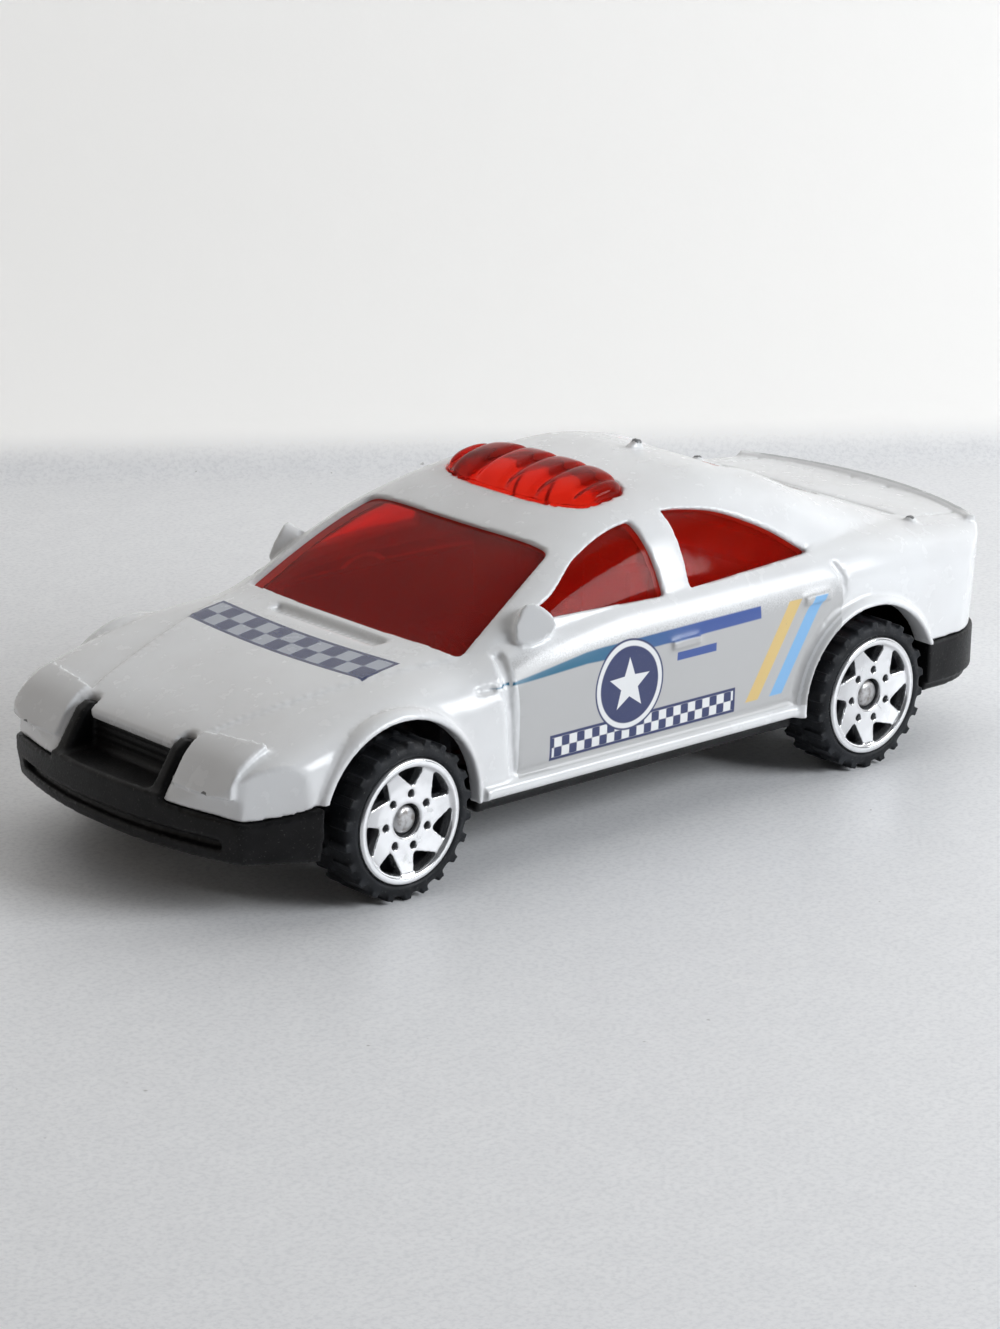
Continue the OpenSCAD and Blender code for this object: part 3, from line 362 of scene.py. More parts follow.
def nosePlan(inset, back):
    half, reach = c["halfBody"] + c["bumperSide"], c["noseX"] - c["frontBumperBack"]
    y = np.linspace(-c["noseCornerY"], c["noseCornerY"], 41)
    front = np.column_stack([reach - c["noseBow"] * np.abs(y) ** c["noseBowPower"], y])
    arc = np.vstack([[(0, -half)], front, [(0, half)]]) * [(reach - inset) / reach, (half - inset) / half]
    arc = arc + [c["frontBumperBack"], 0]
    return np.vstack([arc[0] - [back, 0], arc, arc[-1] - [back, 0]])


def tailPlan(inset, back):
    half, reach = c["halfBody"] + c["bumperSide"] - inset, c["rearBumperBack"] - c["tailX"] - inset
    a = np.radians(np.linspace(-90, 90, 73))
    arc = np.column_stack([c["rearBumperBack"] - reach * np.cos(a).clip(0) ** (2 / c["tailPower"]),
                           half * signedPower(np.sin(a), 2 / c["tailPower"])])
    return np.vstack([[c["rearBumperBack"] + back, -half], arc, [c["rearBumperBack"] + back, half]])


# body shell

body = {
    "wall": 1.0, "roofWall": 1.15, "stations": 140, "around": 44, "tailLean": 0.07,
    "voxel": 0.15, "softening": 4, "triangles": 195000,
    "hoodStep": 0.22, "hoodFrontY": 5.75, "hoodRearY": 11.3, "hoodSetBack": 2.7,
    "lampRise": 0.6, "lampFoot": 8.5, "lampPlan": ((-4, 6.25), (1, 6.25), (1, 11.85), (-4.9, 11.6)),  # from the nose
    "frontLip": (6.85, 0.5, 14.75), "rearLip": (6.75, 0.6, 15.35),  # ring radius, half thickness, outer edge
    "lipDepth": 0.85, "sillRidgeX": (-13.6, 16.2), "sillRidgeRadius": 0.5,
    "tailEdgeRadius": 28.4, "tailEdgeAngle": 25.5,
    "tailEdge": ((-2.05, 14.2), (-0.4, 13.8), (0, 15.8), (-0.15, 16.0), (-0.6, 15.95), (-1.25, 15.5)),
    "windscreen": (11.3, 0.5, 9.4, 0.25), "backlight": (6.7, -0.5, 5.7, -0.5),  # half width and bow, low and high
    "grooveRadius": 0.36, "doorFrontRadius": 0.44, "trunkRadius": 0.2,
    "doorFront": [(13.62, 14.5), (13.85, 13.6), (14.06, 11.85), (13.9, 9), (13.6, 6.5)],
    "doorSill": [(13.6, 6.5), (-12.9, 6.45)],
    "doorRear": [(-12.9, 6.45), (-13.3, 8.1), (-14.15, 9.8), (-15.7, 11.6), (-17.4, 12.75), (-18.1, 13.6),
                 (-17.9, 14.7), (-17.3, 15.8)],
    "trunk": [(-34.4, 10), (-31.5, 10), (-29, 9.9), (-28.9, 5), (-28.9, 0), (-28.9, -5), (-29, -9.9),
              (-31.5, -10), (-34.4, -10)],
    "fenderVent": [(14.9, 12.6), (16.4, 12.65)], "cowlVent": ((17.2, -5.7, 13.95), (18.2, 5.7, clear)),
    "tailLamp": [(6.3, 10.6), (12.6, 10.9), (12.9, 13.7), (6.9, 13.4)], "tailLampDepth": 0.3, "tailLampInside": 0.84,
    "grilleHalf": 5.85, "uprightX": 34.65, "uprightY": 5.175, "uprightSlot": (0.75, 0.68),  # half length, radius
    "bumperTop": [(29.45, 7.7), (30.15, 7.7), (32.2, 7.15), (34.3, 6.85), (36.45, 7.15), (38.2, 7.15)],
    "mirror": [(-0.3, 0.1), (1.2, -0.35), (2.6, -0.2), (2.95, 0.5), (2.6, 1.5), (1.9, 2.3), (1.1, 2.2), (0.1, 1.2)],
    "mirrorFoot": (12.0, 13.3, 14.95), "mirrorBack": (-0.87, 0.33, 0.36), "mirrorUp": (0.18, -0.466, 0.862),
    "handles": ((-2.2, 12.8), (-15.2, 13.65)), "handleRadius": 0.42, "nubY": 11.05,
    "fin": [(-9.7, 22.0), (-11.6, 22.0), (-11.45, 22.75), (-11.15, 22.95), (-10.9, 22.8)], "finHalf": 0.3,
    "archInnerY": 10.4, "postRadius": 1.7, "shankRadius": 1.0, "rivetHead": (1.68, 1.68, 0.45),
}
sectionAngles = np.radians(np.linspace(0, 180, 2 * body["around"] + 1))


def lowerBody(name, inset):
    t = np.linspace(0, np.pi, body["stations"])
    rings = []
    for x in c["tailX"] + (c["noseX"] - c["tailX"]) * (1 - np.cos(t)) / 2:
        half = widthLine(x) - inset
        rise = crownLine(x) - inset - c["sill"]
        e = 2 / shoulderLine(x)
        arc = np.column_stack([np.full(len(sectionAngles), x), half * signedPower(np.cos(sectionAngles), e),
                               c["sill"] + rise * np.sin(sectionAngles).clip(0) ** e])
        rings.append(np.vstack([[x, half, 0], arc, [x, -half, 0]]))
    piece = loft(name, rings)
    nose = prism("nosePlan", flat(nosePlan(inset + c["bumperReach"], 100), -1), (0, 0, clear))
    carve(piece, nose, "INTERSECT")
    tail = prism("tailPlan", flat(tailPlan(inset + c["bumperReach"], 100), -1), (0, 0, clear))
    points = corners(tail) / mm
    points[:, 0] -= body["tailLean"] * (points[:, 2] - c["deckZ"] + 2)
    place(tail, points)
    return carve(piece, tail, "INTERSECT")


def cabin(name, inset):
    rings = []
    for x in np.linspace(c["deckX"] - 7, c["cowlX"] + 4, body["stations"]):
        half = cabinLine(x) - inset
        z = cabinFoot + (roofLine(x) - inset - cabinFoot) * np.sin(sectionAngles).clip(0) ** (2 / c["roofPower"])
        lean = half - c["tumblehome"] * (z - c["belt"]).clip(0)
        y = lean * signedPower(np.cos(sectionAngles), 2 / cornerLine(x))
        arc = np.column_stack([np.full(len(z), x), y, z])
        rings.append(np.vstack([[x, half, cabinFoot - 2], arc, [x, -half, cabinFoot - 2]]))
    return loft(name, rings)


def sideWindows(side):
    front, rear = c["windowFrontX"], c["windowRearX"]
    through = np.array([0, side * 0.85, 0.53])  # the cut runs inwards and down
    tools = []
    for low, high in ((rear, c["pillarX"] - c["pillarWidth"]), (c["pillarX"], front)):
        x = np.linspace(low, high, 28)
        top = np.column_stack([x, daylightLine(x)])
        foot = [[end, c["belt"] - 0.05 + 0.8 * (front - end) / (front - rear)] for end in (high, low)]
        outline = np.vstack([top[1:-1] if high == front else top[1:], foot])
        skin = np.column_stack([outline[:, 0], side * cabinSideAt(outline[:, 0], outline[:, 1]), outline[:, 1]])
        tools.append(prism("sideWindow", skin - 2.2 * through, 5.5 * through))
    return joined(tools)


def crossWindow(xLow, xHigh, shape, facing):
    halfLow, lowBow, halfHigh, highBow = shape
    t = np.linspace(-1, 1, 15)
    low = np.column_stack([xLow - lowBow * t * t, halfLow * t])
    high = np.column_stack([xHigh - highBow * t * t, -halfHigh * t])
    outline = rounded(np.vstack([low, high]), 0.7, 4)
    middle = outline.mean(0)
    core = prism("crossWindow", flat(middle + (outline - middle) * 0.88, c["cowlZ"] - 1.6), (0, 0, clear))
    # the rim is cut square to the skin
    skin = np.column_stack([outline, roofAt(outline[:, 0], outline[:, 1])])
    square = np.column_stack([np.full(len(skin), 0.4 * facing), 0.062 * skin[:, 1], np.full(len(skin), 0.7)])
    rim = prism("windowRim", skin - 3.0 * square, (0, 0, 1))
    place(rim, np.vstack([skin - 3.0 * square, skin + 3.5 * square]))
    return unite(core, outward(rim))


def sidePath(points, side, out, steps=10):
    # a path drawn in side view, laid on the body's side
    points = np.array(points, float)
    runs = [np.linspace(points[i], points[i + 1], steps, endpoint=False) for i in range(len(points) - 1)]
    return [(x, side * (float(sideAt(x, z)) + out), z) for x, z in np.vstack(runs + [points[-1:]])]


def beaconOutline(grow):
    ring = signedPower(circle(72), 2 / c["beaconPower"])
    return ring * [c["beaconWidth"] / 2 + grow, c["beaconLength"] / 2 + grow] + [c["beaconX"], 0]


shell = lowerBody("bodyShell", 0)
unite(shell, cabin("cabin", 0))

hood = lowerBody("hoodPanel", -body["hoodStep"])
hoodFront, hoodRear = c["noseX"] - body["hoodSetBack"], c["cowlX"] - 1
hoodPlan = np.array([(hoodRear, -body["hoodRearY"]), (hoodFront, -body["hoodFrontY"]),
                     (hoodFront, body["hoodFrontY"]), (hoodRear, body["hoodRearY"])])
carve(hood, prism("hoodPlan", flat(hoodPlan, 0), (0, 0, clear)), "INTERSECT")
unite(shell, hood)
for side in sides:
    lamp = lowerBody("headLamp", -body["lampRise"])
    lampPlan = np.array(body["lampPlan"]) * [1, side] + [c["noseX"], 0]
    carve(lamp, prism("lampPlan", flat(lampPlan, body["lampFoot"]), (0, 0, clear)), "INTERSECT")
    unite(shell, lamp)
print("body skin lofted")

for x, (ring, half, edge) in ((c["frontAxleX"], body["frontLip"]), (c["rearAxleX"], body["rearLip"])):
    profile = circle(20) * [half, body["lipDepth"]] + [ring, 0]
    for side in sides:
        unite(shell, spun("archLip", profile, 64, (x, side * (edge - body["lipDepth"]), c["axleZ"])))
for side in sides:
    ridge = [(x, side * (c["halfBody"] - 0.15), c["sill"] + 0.5) for x in body["sillRidgeX"]]
    unite(shell, tube("sillRidge", ridge, body["sillRidgeRadius"]))

radius = body["tailEdgeRadius"]
rings = []
for a in np.radians(np.linspace(-body["tailEdgeAngle"], body["tailEdgeAngle"], 40)):
    profile = [(radius + r, z) for r, z in body["tailEdge"]]
    rings.append([(c["tailX"] + radius - r * math.cos(a), r * math.sin(a), z) for r, z in profile])
unite(shell, loft("rearLip", rings))

carve(shell, lowerBody("inside", body["wall"]))
carve(shell, cabin("cabinInside", body["roofWall"]))
carve(shell, box("below", (-60, -30, -10), (60, 30, c["sill"])))
for side in sides:
    carve(shell, sideWindows(side))
carve(shell, crossWindow(c["cowlX"], c["screenTopX"], body["windscreen"], 1))
carve(shell, crossWindow(c["backLowX"], c["backTopX"] - 0.6, body["backlight"], -1))
print("windows cut")

for name in ("doorFront", "doorSill", "doorRear"):
    radius = body["doorFrontRadius"] if name == "doorFront" else body["grooveRadius"]
    for side in sides:
        carve(shell, tube("groove", sidePath(body[name], side, 0.08), radius))
for side in sides:
    carve(shell, tube("fenderVent", sidePath(body["fenderVent"], side, 0.05, 3), 0.3))
carve(shell, box("cowlVent", *body["cowlVent"]))
lampFrame = rounded(body["tailLamp"], 0.6, 5)
middle = lampFrame.mean(0)
for side in sides:
    tailLamp = lowerBody("tailLamp", -body["tailLampDepth"])
    carve(tailLamp, lowerBody("tailLampBack", body["tailLampDepth"]))
    for grow, how in ((1.0, "INTERSECT"), (body["tailLampInside"], "DIFFERENCE")):
        ring = (middle + (lampFrame - middle) * grow) * [side, 1]
        carve(tailLamp, prism("lampFrame", [(-50, y, z) for y, z in ring], (20, 0, 0)), how)
    carve(shell, tailLamp)
trunk = [(x, y, float(crownAt(x, y))) for x, y in body["trunk"]]
carve(shell, tube("trunkLine", trunk, body["trunkRadius"]))

pastNose, lipZ = c["noseX"] + 1, c["hoodLipZ"]
grilleRoom = [(32.8, c["sill"]), (32.8, lipZ + 0.15), (34.3, lipZ - 0.6), (34.65, lipZ + 1), (pastNose, lipZ + 1),
              (pastNose, c["sill"])]
carve(shell, prism("grilleRoom", upright(grilleRoom, -body["grilleHalf"]), (0, 2 * body["grilleHalf"], 0)))
ring = circle(32)
half, radius = body["uprightSlot"]
for side in sides:
    slot = radius * ring + half * np.sign(ring) * [1, 0] + [body["uprightX"], side * body["uprightY"]]
    carve(shell, prism("uprightRoom", flat(slot, lipZ - 2), (0, 0, clear)))
bumperTop = np.array(body["bumperTop"])
bumperRoom = np.vstack([bumperTop + [0, 0.08], [(bumperTop[-1, 0], -1), (bumperTop[0, 0], -1)]])
carve(shell, prism("frontBumperRoom", upright(bumperRoom, -30), (0, 60, 0)))
rearRoom = (c["rearAxleX"] - c["archRadius"] + 0.6, 30, c["rearBumperTop"] + 0.08)
carve(shell, box("rearBumperRoom", (-60, -30, -1), rearRoom))
carve(shell, prism("beaconSlot", flat(beaconOutline(0.1), c["roof"] - 4), (0, 0, clear)))

mirror = rounded(body["mirror"], 0.4, 4)
mirror = np.array(body["mirrorFoot"]) + mirror @ np.array([body["mirrorBack"], body["mirrorUp"]])
for side in sides:
    unite(shell, prism("mirrorEar", mirror * [1, side, 1], (-0.55, -side * 1.0, -0.45)))
    for x, z in body["handles"]:
        path = sidePath([(x - 1.3, z), (x + 1.3, z - 0.05)], side, -0.12, 3)
        unite(shell, tube("doorHandle", path, body["handleRadius"]))
    unite(shell, ball("deckNub", (c["deckX"] - 1.7, side * body["nubY"], c["deckZ"] - 0.1), (0.45, 0.45, 0.4)))
unite(shell, prism("roofFin", upright(body["fin"], -body["finHalf"]), (0, 2 * body["finHalf"], 0)))
for x in (c["frontAxleX"], c["rearAxleX"]):
    for side in sides:
        ring = [(0.01, 0), (c["archRadius"], 0), (c["archRadius"], side * 12), (0.01, side * 12)]
        carve(shell, spun("archRoom", ring, 96, (x, side * body["archInnerY"], c["axleZ"])))
for x in c["rivetX"]:
    post, shank = (radius * circle(32) + [x, 0] for radius in (body["postRadius"], body["shankRadius"]))
    unite(shell, prism("rivetPost", flat(post, 5.3), (0, 0, float(crownLine(x)) - 5.8)))
    unite(shell, prism("rivetShank", flat(shank, 3.1), (0, 0, 2.6)))
    unite(shell, ball("rivetHead", (x, 0, 3.5), body["rivetHead"]))
print("body carved:", len(shell.data.vertices), "points")
softCast(shell, body)


# red glazing with the beacon

glazing = {
    "inset": 0.32, "wall": 0.9, "foot": 13.0, "pillarRoom": ((12.6, 11.9, 12), (16, 14.5, 15.0)),
    "grooves": (-6.1, -3.05, 0, 3.05, 6.1), "pinch": 0.26, "grooveWidth": 0.34, "dip": 0.1, "dipWidth": 1.5,
    "domeRise": 1.1625, "domeSink": 0.3, "edge": 0.02,
}
g = glazing
glass = cabin("redGlazing", g["inset"])
carve(glass, cabin("glassInside", g["inset"] + g["wall"]))
carve(glass, box("glassFoot", (-60, -30, -10), (60, 30, g["foot"])))
carve(glass, box("glassBack", (-60, -30, -10), (c["deckX"] - 1, 30, clear)))
for side in sides:
    ends = np.array(g["pillarRoom"]) * [1, side, 1]
    carve(glass, box("pillarRoom", ends.min(0), ends.max(0)))

foot = cabin("beaconFoot", -0.05)
carve(foot, cabin("footInside", g["inset"] + g["wall"] / 2))
carve(foot, prism("beaconPlan", flat(beaconOutline(0), c["roof"] - 4), (0, 0, clear)), "INTERSECT")
unite(glass, foot)

rings = []
a = np.radians(np.linspace(0, 180, 41))
for y in np.sin(np.linspace(-1.5, 1.5, 150)) / math.sin(1.5) * (c["beaconLength"] / 2 - g["edge"]):
    taper = (1 - abs(2 * y / c["beaconLength"]) ** c["beaconPower"]) ** (1 / c["beaconPower"])
    groove = sum(math.exp(-((y - at) / g["grooveWidth"]) ** 2) for at in g["grooves"])
    near = min(abs(y - at) for at in g["grooves"])
    swell = 1 - g["pinch"] * groove - g["dip"] * max(0.0, 1 - near / g["dipWidth"]) ** 2
    half = (c["beaconWidth"] / 2 - g["edge"]) * taper * (1 - 0.03 * groove)
    rise = g["domeRise"] * taper ** 0.8 * swell + g["domeSink"]
    x = c["beaconX"] + half * signedPower(np.cos(a), 0.8)
    level = np.full_like(x, y)
    rings.append(np.column_stack([x, level, roofAt(x, level) - g["domeSink"] + rise * np.sin(a).clip(0) ** 0.7]))
unite(glass, loft("beaconDome", rings))
bpy.ops.object.shade_smooth_by_angle(angle=math.radians(40))
print("glazing made:", len(glass.data.polygons), "faces")


# black base with bumpers and grille

under = {
    "voxel": 0.17, "softening": 4, "triangles": 150000, "wall": 1.4, "ride": 3.0, "panTop": 4.4, "panSide": 10.2,
    "pan": [(-33.5, -8.6), (-31.9, -10.2), (32.1, -10.2), (33.7, -8.6), (33.7, 8.6), (32.1, 10.2), (-31.9, 10.2),
            (-33.5, 8.6)],
    "flange": ((-13.65, -14.1, 4.2), (16.45, 14.1, 5.0)), "bandZ": (5.6, 7.7), "footZ": (3.95, 5.7), "footInset": 0.35,
    "slotZ": (4.85, 5.55), "slotBack": 0.85, "slotHalf": 10.6, "rearZ": (4.85, 8.0), "rearUnderZ": (4.2, 5.0),
    "grilleX": 33.1, "grilleHalf": 4.8, "bars": (7.95, 9.5, 4), "barHeight": 0.26, "uprightWidth": 1.15,
    "upright": [(33.1, 6.9), (36.3, 6.9), (36.25, 8.1), (34.85, 10.3), (34.1, 10.75), (33.3, 10.6), (33.1, 9.8)],
    "shelf": 4.2, "saddleTop": 6.2, "saddleHalf": 1.7, "saddleInnerY": 5.0,
    "wellRadius": 6.3, "wellY": 9.4, "wellWall": 0.8, "axleRoom": 0.66,
    "bossRadius": 2.6, "holeRadius": 1.15, "seatRadius": 1.85,
    "recesses": (((-12.5, -8.6, 2), (-1.5, 8.6, 3.35)), ((1.0, -8.6, 2), (14.5, 8.6, 3.35))),
    "pipeX": (-11.5, 13.5), "pipeY": 3.2, "pipeZ": 3.55, "pipeRadius": 0.5,
    "silencer": ((-11.5, -4.6, 3.1), (-5.5, 4.6, 3.7)),
}
disc = circle(40)


def band(name, plan, inset, low, high):
    return prism(name, flat(plan(inset, 0.02), low), (0, 0, high - low))


base = prism("blackBase", flat(rounded(under["pan"], 1.2, 4), under["ride"]), (0, 0, under["panTop"] - under["ride"]))
unite(base, box("flange", *under["flange"]))

front = band("bumperBand", nosePlan, 0.0, *under["bandZ"])
lower = band("bumperFoot", nosePlan, 0.0, *under["footZ"])
taper = zip((under["footInset"], 0.0), under["footZ"])
place(lower, np.vstack([flat(nosePlan(inset, 0.02), z) for inset, z in taper]))
unite(front, outward(lower))
slot = band("bumperSlot", nosePlan, -2.0, *under["slotZ"])
carve(slot, band("slotBack", nosePlan, under["slotBack"], 4, 6))
carve(slot, box("slotEnds", (25, -under["slotHalf"], 4), (45, under["slotHalf"], 6)), "INTERSECT")
carve(front, slot)
dip = np.vstack([bumperTop, [(bumperTop[-1, 0], 20), (bumperTop[0, 0], 20)]])
for side in sides:
    carve(front, prism("bumperDip", upright(dip, side * body["grilleHalf"]), (0, side * 20, 0)))
carve(front, prism("bumperHollow", flat(nosePlan(under["wall"], 5), under["panTop"]), (0, 0, clear)))
unite(base, front)

rear = band("rearBumper", tailPlan, c["bumperReach"], *under["rearZ"])
unite(rear, band("rearBumperUnder", tailPlan, c["bumperReach"] + 0.4, *under["rearUnderZ"]))
rearHollow = flat(tailPlan(c["bumperReach"] + under["wall"], 5), under["panTop"])
carve(rear, prism("rearHollow", rearHollow, (0, 0, clear)))
unite(base, rear)


def grilleBox(name, x, z):
    # a bar across the grille between two distances and two heights
    unite(base, box(name, (x[0], -under["grilleHalf"], z[0]), (x[1], under["grilleHalf"], z[1])))


grilleX = under["grilleX"]
grilleBox("grillePanel", (grilleX, grilleX + 0.6), (under["shelf"], 9.95))
for low in np.linspace(*under["bars"]):
    grilleBox("grilleBar", (grilleX + 0.3, grilleX + 0.9), (low, low + under["barHeight"]))
grilleBox("grilleLedge", (grilleX, 35.85), (6.9, 7.7))
for side in sides:
    outline = upright(under["upright"], side * body["uprightY"] - under["uprightWidth"] / 2)
    unite(base, prism("grilleUpright", outline, (0, under["uprightWidth"], 0)))

shelf, room = under["shelf"], under["axleRoom"]
for x in (c["frontAxleX"], c["rearAxleX"]):
    for side in sides:
        low, high = sorted((side * under["saddleInnerY"], side * under["panSide"]))
        half = under["saddleHalf"]
        unite(base, box("saddle", (x - half, low, shelf), (x + half, high, under["saddleTop"])))
        outline = upright(under["wellRadius"] * disc + [x, c["axleZ"]], side * under["wellY"])
        well = prism("wheelWell", outline, (0, side * under["wellWall"], 0))
        carve(well, box("wellFoot", (x - 10, -20, -5), (x + 10, 20, shelf)))
        unite(base, well)
    carve(base, prism("axleSlot", upright(room * disc + [x, c["axleZ"]], -20), (0, 40, 0)))
    carve(base, box("axleSlotTop", (x - room, -20, c["axleZ"]), (x + room, 20, 20)))
for x in c["rivetX"]:
    boss, hole, seat = (under[key] * disc + [x, 0] for key in ("bossRadius", "holeRadius", "seatRadius"))
    unite(base, prism("rivetBoss", flat(boss, shelf), (0, 0, 1.1)))
    carve(base, prism("rivetHole", flat(hole, 2), (0, 0, 6)))
    carve(base, prism("rivetSeat", flat(seat, 2), (0, 0, 1.55)))
# the underside's moulded relief
for low, high in under["recesses"]:
    carve(base, box("panRecess", low, high))
for side in sides:
    pipe = [(x, side * under["pipeY"], under["pipeZ"]) for x in under["pipeX"]]
    unite(base, tube("exhaustPipe", pipe, under["pipeRadius"]))
unite(base, box("silencer", *under["silencer"]))
print("base carved:", len(base.data.vertices), "points")
softCast(base, under)


# wheels, facings and axles; profiles are (radius, distance out from the wheel's inner face)

wheel = {
    "lugs": 22, "lugWidth": 0.6, "lugLength": 1.75, "lugFoot": 4.9, "lugTop": 5.48, "lugEdge": 0.1,
    "voxel": 0.1, "softening": 2, "triangles": 60000,
    "profile": [(0.66, 0), (1.7, 0), (1.7, 2.3), (3.82, 2.3), (4.1, 0.35), (4.4, 0.06), (4.75, 0.02), (5.02, 0.12),
                (5.2, 0.3), (5.28, 0.55), (5.28, 3.65), (5.2, 3.9), (5.02, 4.08), (4.75, 4.18), (4.56, 4.2),
                (4.42, 4.16), (4.36, 4.06), (4.36, 3.3), (0.66, 3.3)],
}
inner = c["wheelInnerY"]
wheelPlace = (c["frontAxleX"], 0, c["axleZ"])


def wheelDisc(outline, out):
    # an outline drawn on the front left wheel, at a distance out from its inner face
    return upright(np.asarray(outline) + [wheelPlace[0], wheelPlace[2]], inner + out)


tyre = spun("tyre", [(r, inner + y) for r, y in wheel["profile"]], 128, wheelPlace)
lugs = []
for row, low in enumerate((c["tyreWidth"] - wheel["lugLength"] - wheel["lugEdge"], wheel["lugEdge"])):
    for i in range(wheel["lugs"]):
        a = math.radians(90 + 360 / wheel["lugs"] * (i + row / 2))
        out, along = np.array([math.cos(a), -math.sin(a)]), np.array([math.sin(a), math.cos(a)])
        foot, top, half = wheel["lugFoot"], wheel["lugTop"], wheel["lugWidth"] / 2
        outline = [r * out + t * half * along for r, t in ((foot, -1), (top, -1), (top, 1), (foot, 1))]
        lugs.append(prism("lug", wheelDisc(outline, low), (0, wheel["lugLength"], 0)))
unite(tyre, joined(lugs))

trim = {
    "spokes": 7, "turn": 12, "apex": 2.42, "apexHalf": 3, "outer": 3.68, "spread": 18.0, "swirl": 8.0, "corner": 0.34,
    "dots": 1.86, "dotRadius": 0.27, "cutFrom": 2, "cutLength": 4, "pitShift": 0.7,
    "voxel": 0.06, "softening": 3, "triangles": 46000,
    "profile": [(1.15, 3.32), (4.32, 3.32), (4.32, 4.14), (4.26, 4.25), (4.15, 4.3), (3.86, 4.3), (3.76, 4.24),
                (3.68, 4.12), (2.6, 3.95), (1.7, 3.92), (1.3, 3.92), (1.15, 3.86)],
}
facing = spun("facing", [(r, inner + y) for r, y in trim["profile"]], 160, wheelPlace)


def around(radius, degrees):
    return radius * np.array([math.cos(math.radians(degrees)), -math.sin(math.radians(degrees))])


def facingCut(name, outline):
    return prism(name, wheelDisc(outline, trim["cutFrom"]), (0, trim["cutLength"], 0))


cuts, pits = [], []
for i in range(trim["spokes"]):
    turn = 360 / trim["spokes"] * i + trim["turn"]
    leaf = [around(trim["apex"], turn + t - trim["swirl"]) for t in (-trim["apexHalf"], trim["apexHalf"])]
    leaf += [around(trim["outer"], turn + t * trim["spread"]) for t in (1, 0.5, 0, -0.5, -1)]
    leaf = rounded(leaf, trim["corner"], 5)
    cuts.append(facingCut("spokeWindow", leaf))
    cuts.append(facingCut("lugDot", around(trim["dots"], turn - trim["swirl"]) + trim["dotRadius"] * disc))
    pits.append(facingCut("spokePit", leaf))
    pits[-1].data.transform(Matrix.Translation((0, trim["pitShift"] * mm, 0)))
carve(tyre, joined(pits))
softCast(tyre, wheel)
carve(facing, joined(cuts))
softCast(facing, trim)

axleEnd = [(0, 15.0), (0.5, 14.98), (0.8, 14.9), (0.93, 14.76), (0.95, 14.62), (0.6, 14.6)]
axle = spun("frontAxle", [(r, -y) for r, y in axleEnd] + axleEnd[::-1], 48, wheelPlace)
bpy.ops.object.shade_smooth_by_angle(angle=math.radians(40))


def copied(piece, x, side):
    # another wheel's own copy: turned about the car's upright axis for the other side
    other = piece.copy()
    other.data = piece.data.copy()
    bpy.context.scene.collection.objects.link(other)
    turn = Matrix.Rotation(0 if side > 0 else math.pi, 4, "Z")
    away = Matrix.Translation((-wheelPlace[0] * mm, 0, 0))
    other.data.transform(Matrix.Translation((x * mm, 0, 0)) @ turn @ away)
    return other


wheelPlaces = {"front_left": (c["frontAxleX"], 1), "front_right": (c["frontAxleX"], -1),
               "rear_left": (c["rearAxleX"], 1), "rear_right": (c["rearAxleX"], -1)}
wheels = {}
for kind, first in (("tyre", tyre), ("facing", facing)):
    for corner, at in wheelPlaces.items():
        piece = first if corner == "front_left" else copied(first, *at)
        piece.name = kind + corner.title().replace("_", "")
        wheels[kind, corner] = piece
rearAxle = copied(axle, c["rearAxleX"], 1)
rearAxle.name = "rearAxle"
print("wheels copied:", len(wheels), "pieces")


# materials: each helper adds its nodes to the tree that is being wired

tree = None


def node(kind):
    return tree.nodes.new("ShaderNode" + kind)


def feed(socket, value):
    if isinstance(value, bpy.types.NodeSocket):
        tree.links.new(value, socket)
    else:
        socket.default_value = value


def newMaterial(name):
    global tree
    material = bpy.data.materials.new(name)
    material.use_nodes = True
    tree = material.node_tree
    tree.nodes.clear()
    shader = node("BsdfPrincipled")
    tree.links.new(shader.outputs["BSDF"], node("OutputMaterial").inputs["Surface"])
    return material, shader.inputs


def newGroup(name, inputs, outputs):
    global tree
    tree = bpy.data.node_groups.new(name, "ShaderNodeTree")
    for label, kind in inputs:
        tree.interface.new_socket(label, in_out="INPUT", socket_type=kind)
    for label in outputs:
        tree.interface.new_socket(label, in_out="OUTPUT", socket_type="NodeSocketFloat")
    return tree, tree.nodes.new("NodeGroupInput").outputs, tree.nodes.new("NodeGroupOutput").inputs


def useGroup(group, **values):
    step = node("Group")
    step.node_tree = group
    for label, value in values.items():
        feed(step.inputs[label], value)
    return step.outputs


def calc(operation, *values):
    step = node("Math")
    step.operation = operation
    for socket, value in zip(step.inputs, values):
        feed(socket, value)
    return step.outputs[0]


def plus(first, second):
    return calc("ADD", first, second)


def minus(first, second):
    return calc("SUBTRACT", first, second)


def times(*values):
    result = values[0]
    for value in values[1:]:
        result = calc("MULTIPLY", result, value)
    return result


def absolute(value):
    return calc("ABSOLUTE", value)


def ramp(value, low, high, start=0.0, end=1.0, smooth=True):
    step = node("MapRange")
    step.interpolation_type = "SMOOTHSTEP" if smooth else "LINEAR"
    for socket, item in zip(step.inputs, (value, low, high, start, end)):
        feed(socket, item)
    return step.outputs[0]


def within(value, low, high, soft=0.06):
    return times(ramp(value, low - soft, low + soft), ramp(value, high + soft, high - soft))


def blended(mask, first, second):
    step = node("Mix")
    step.data_type = "RGBA"
    for index, value in ((0, mask), (6, first), (7, second)):
        feed(step.inputs[index], value)
    return step.outputs[2]


def noise(where, scale, detail=3.0, roughness=0.55):
    step = node("TexNoise")
    for label, value in (("Vector", where), ("Scale", scale), ("Detail", detail), ("Roughness", roughness)):
        feed(step.inputs[label], value)
    return step.outputs["Fac"]


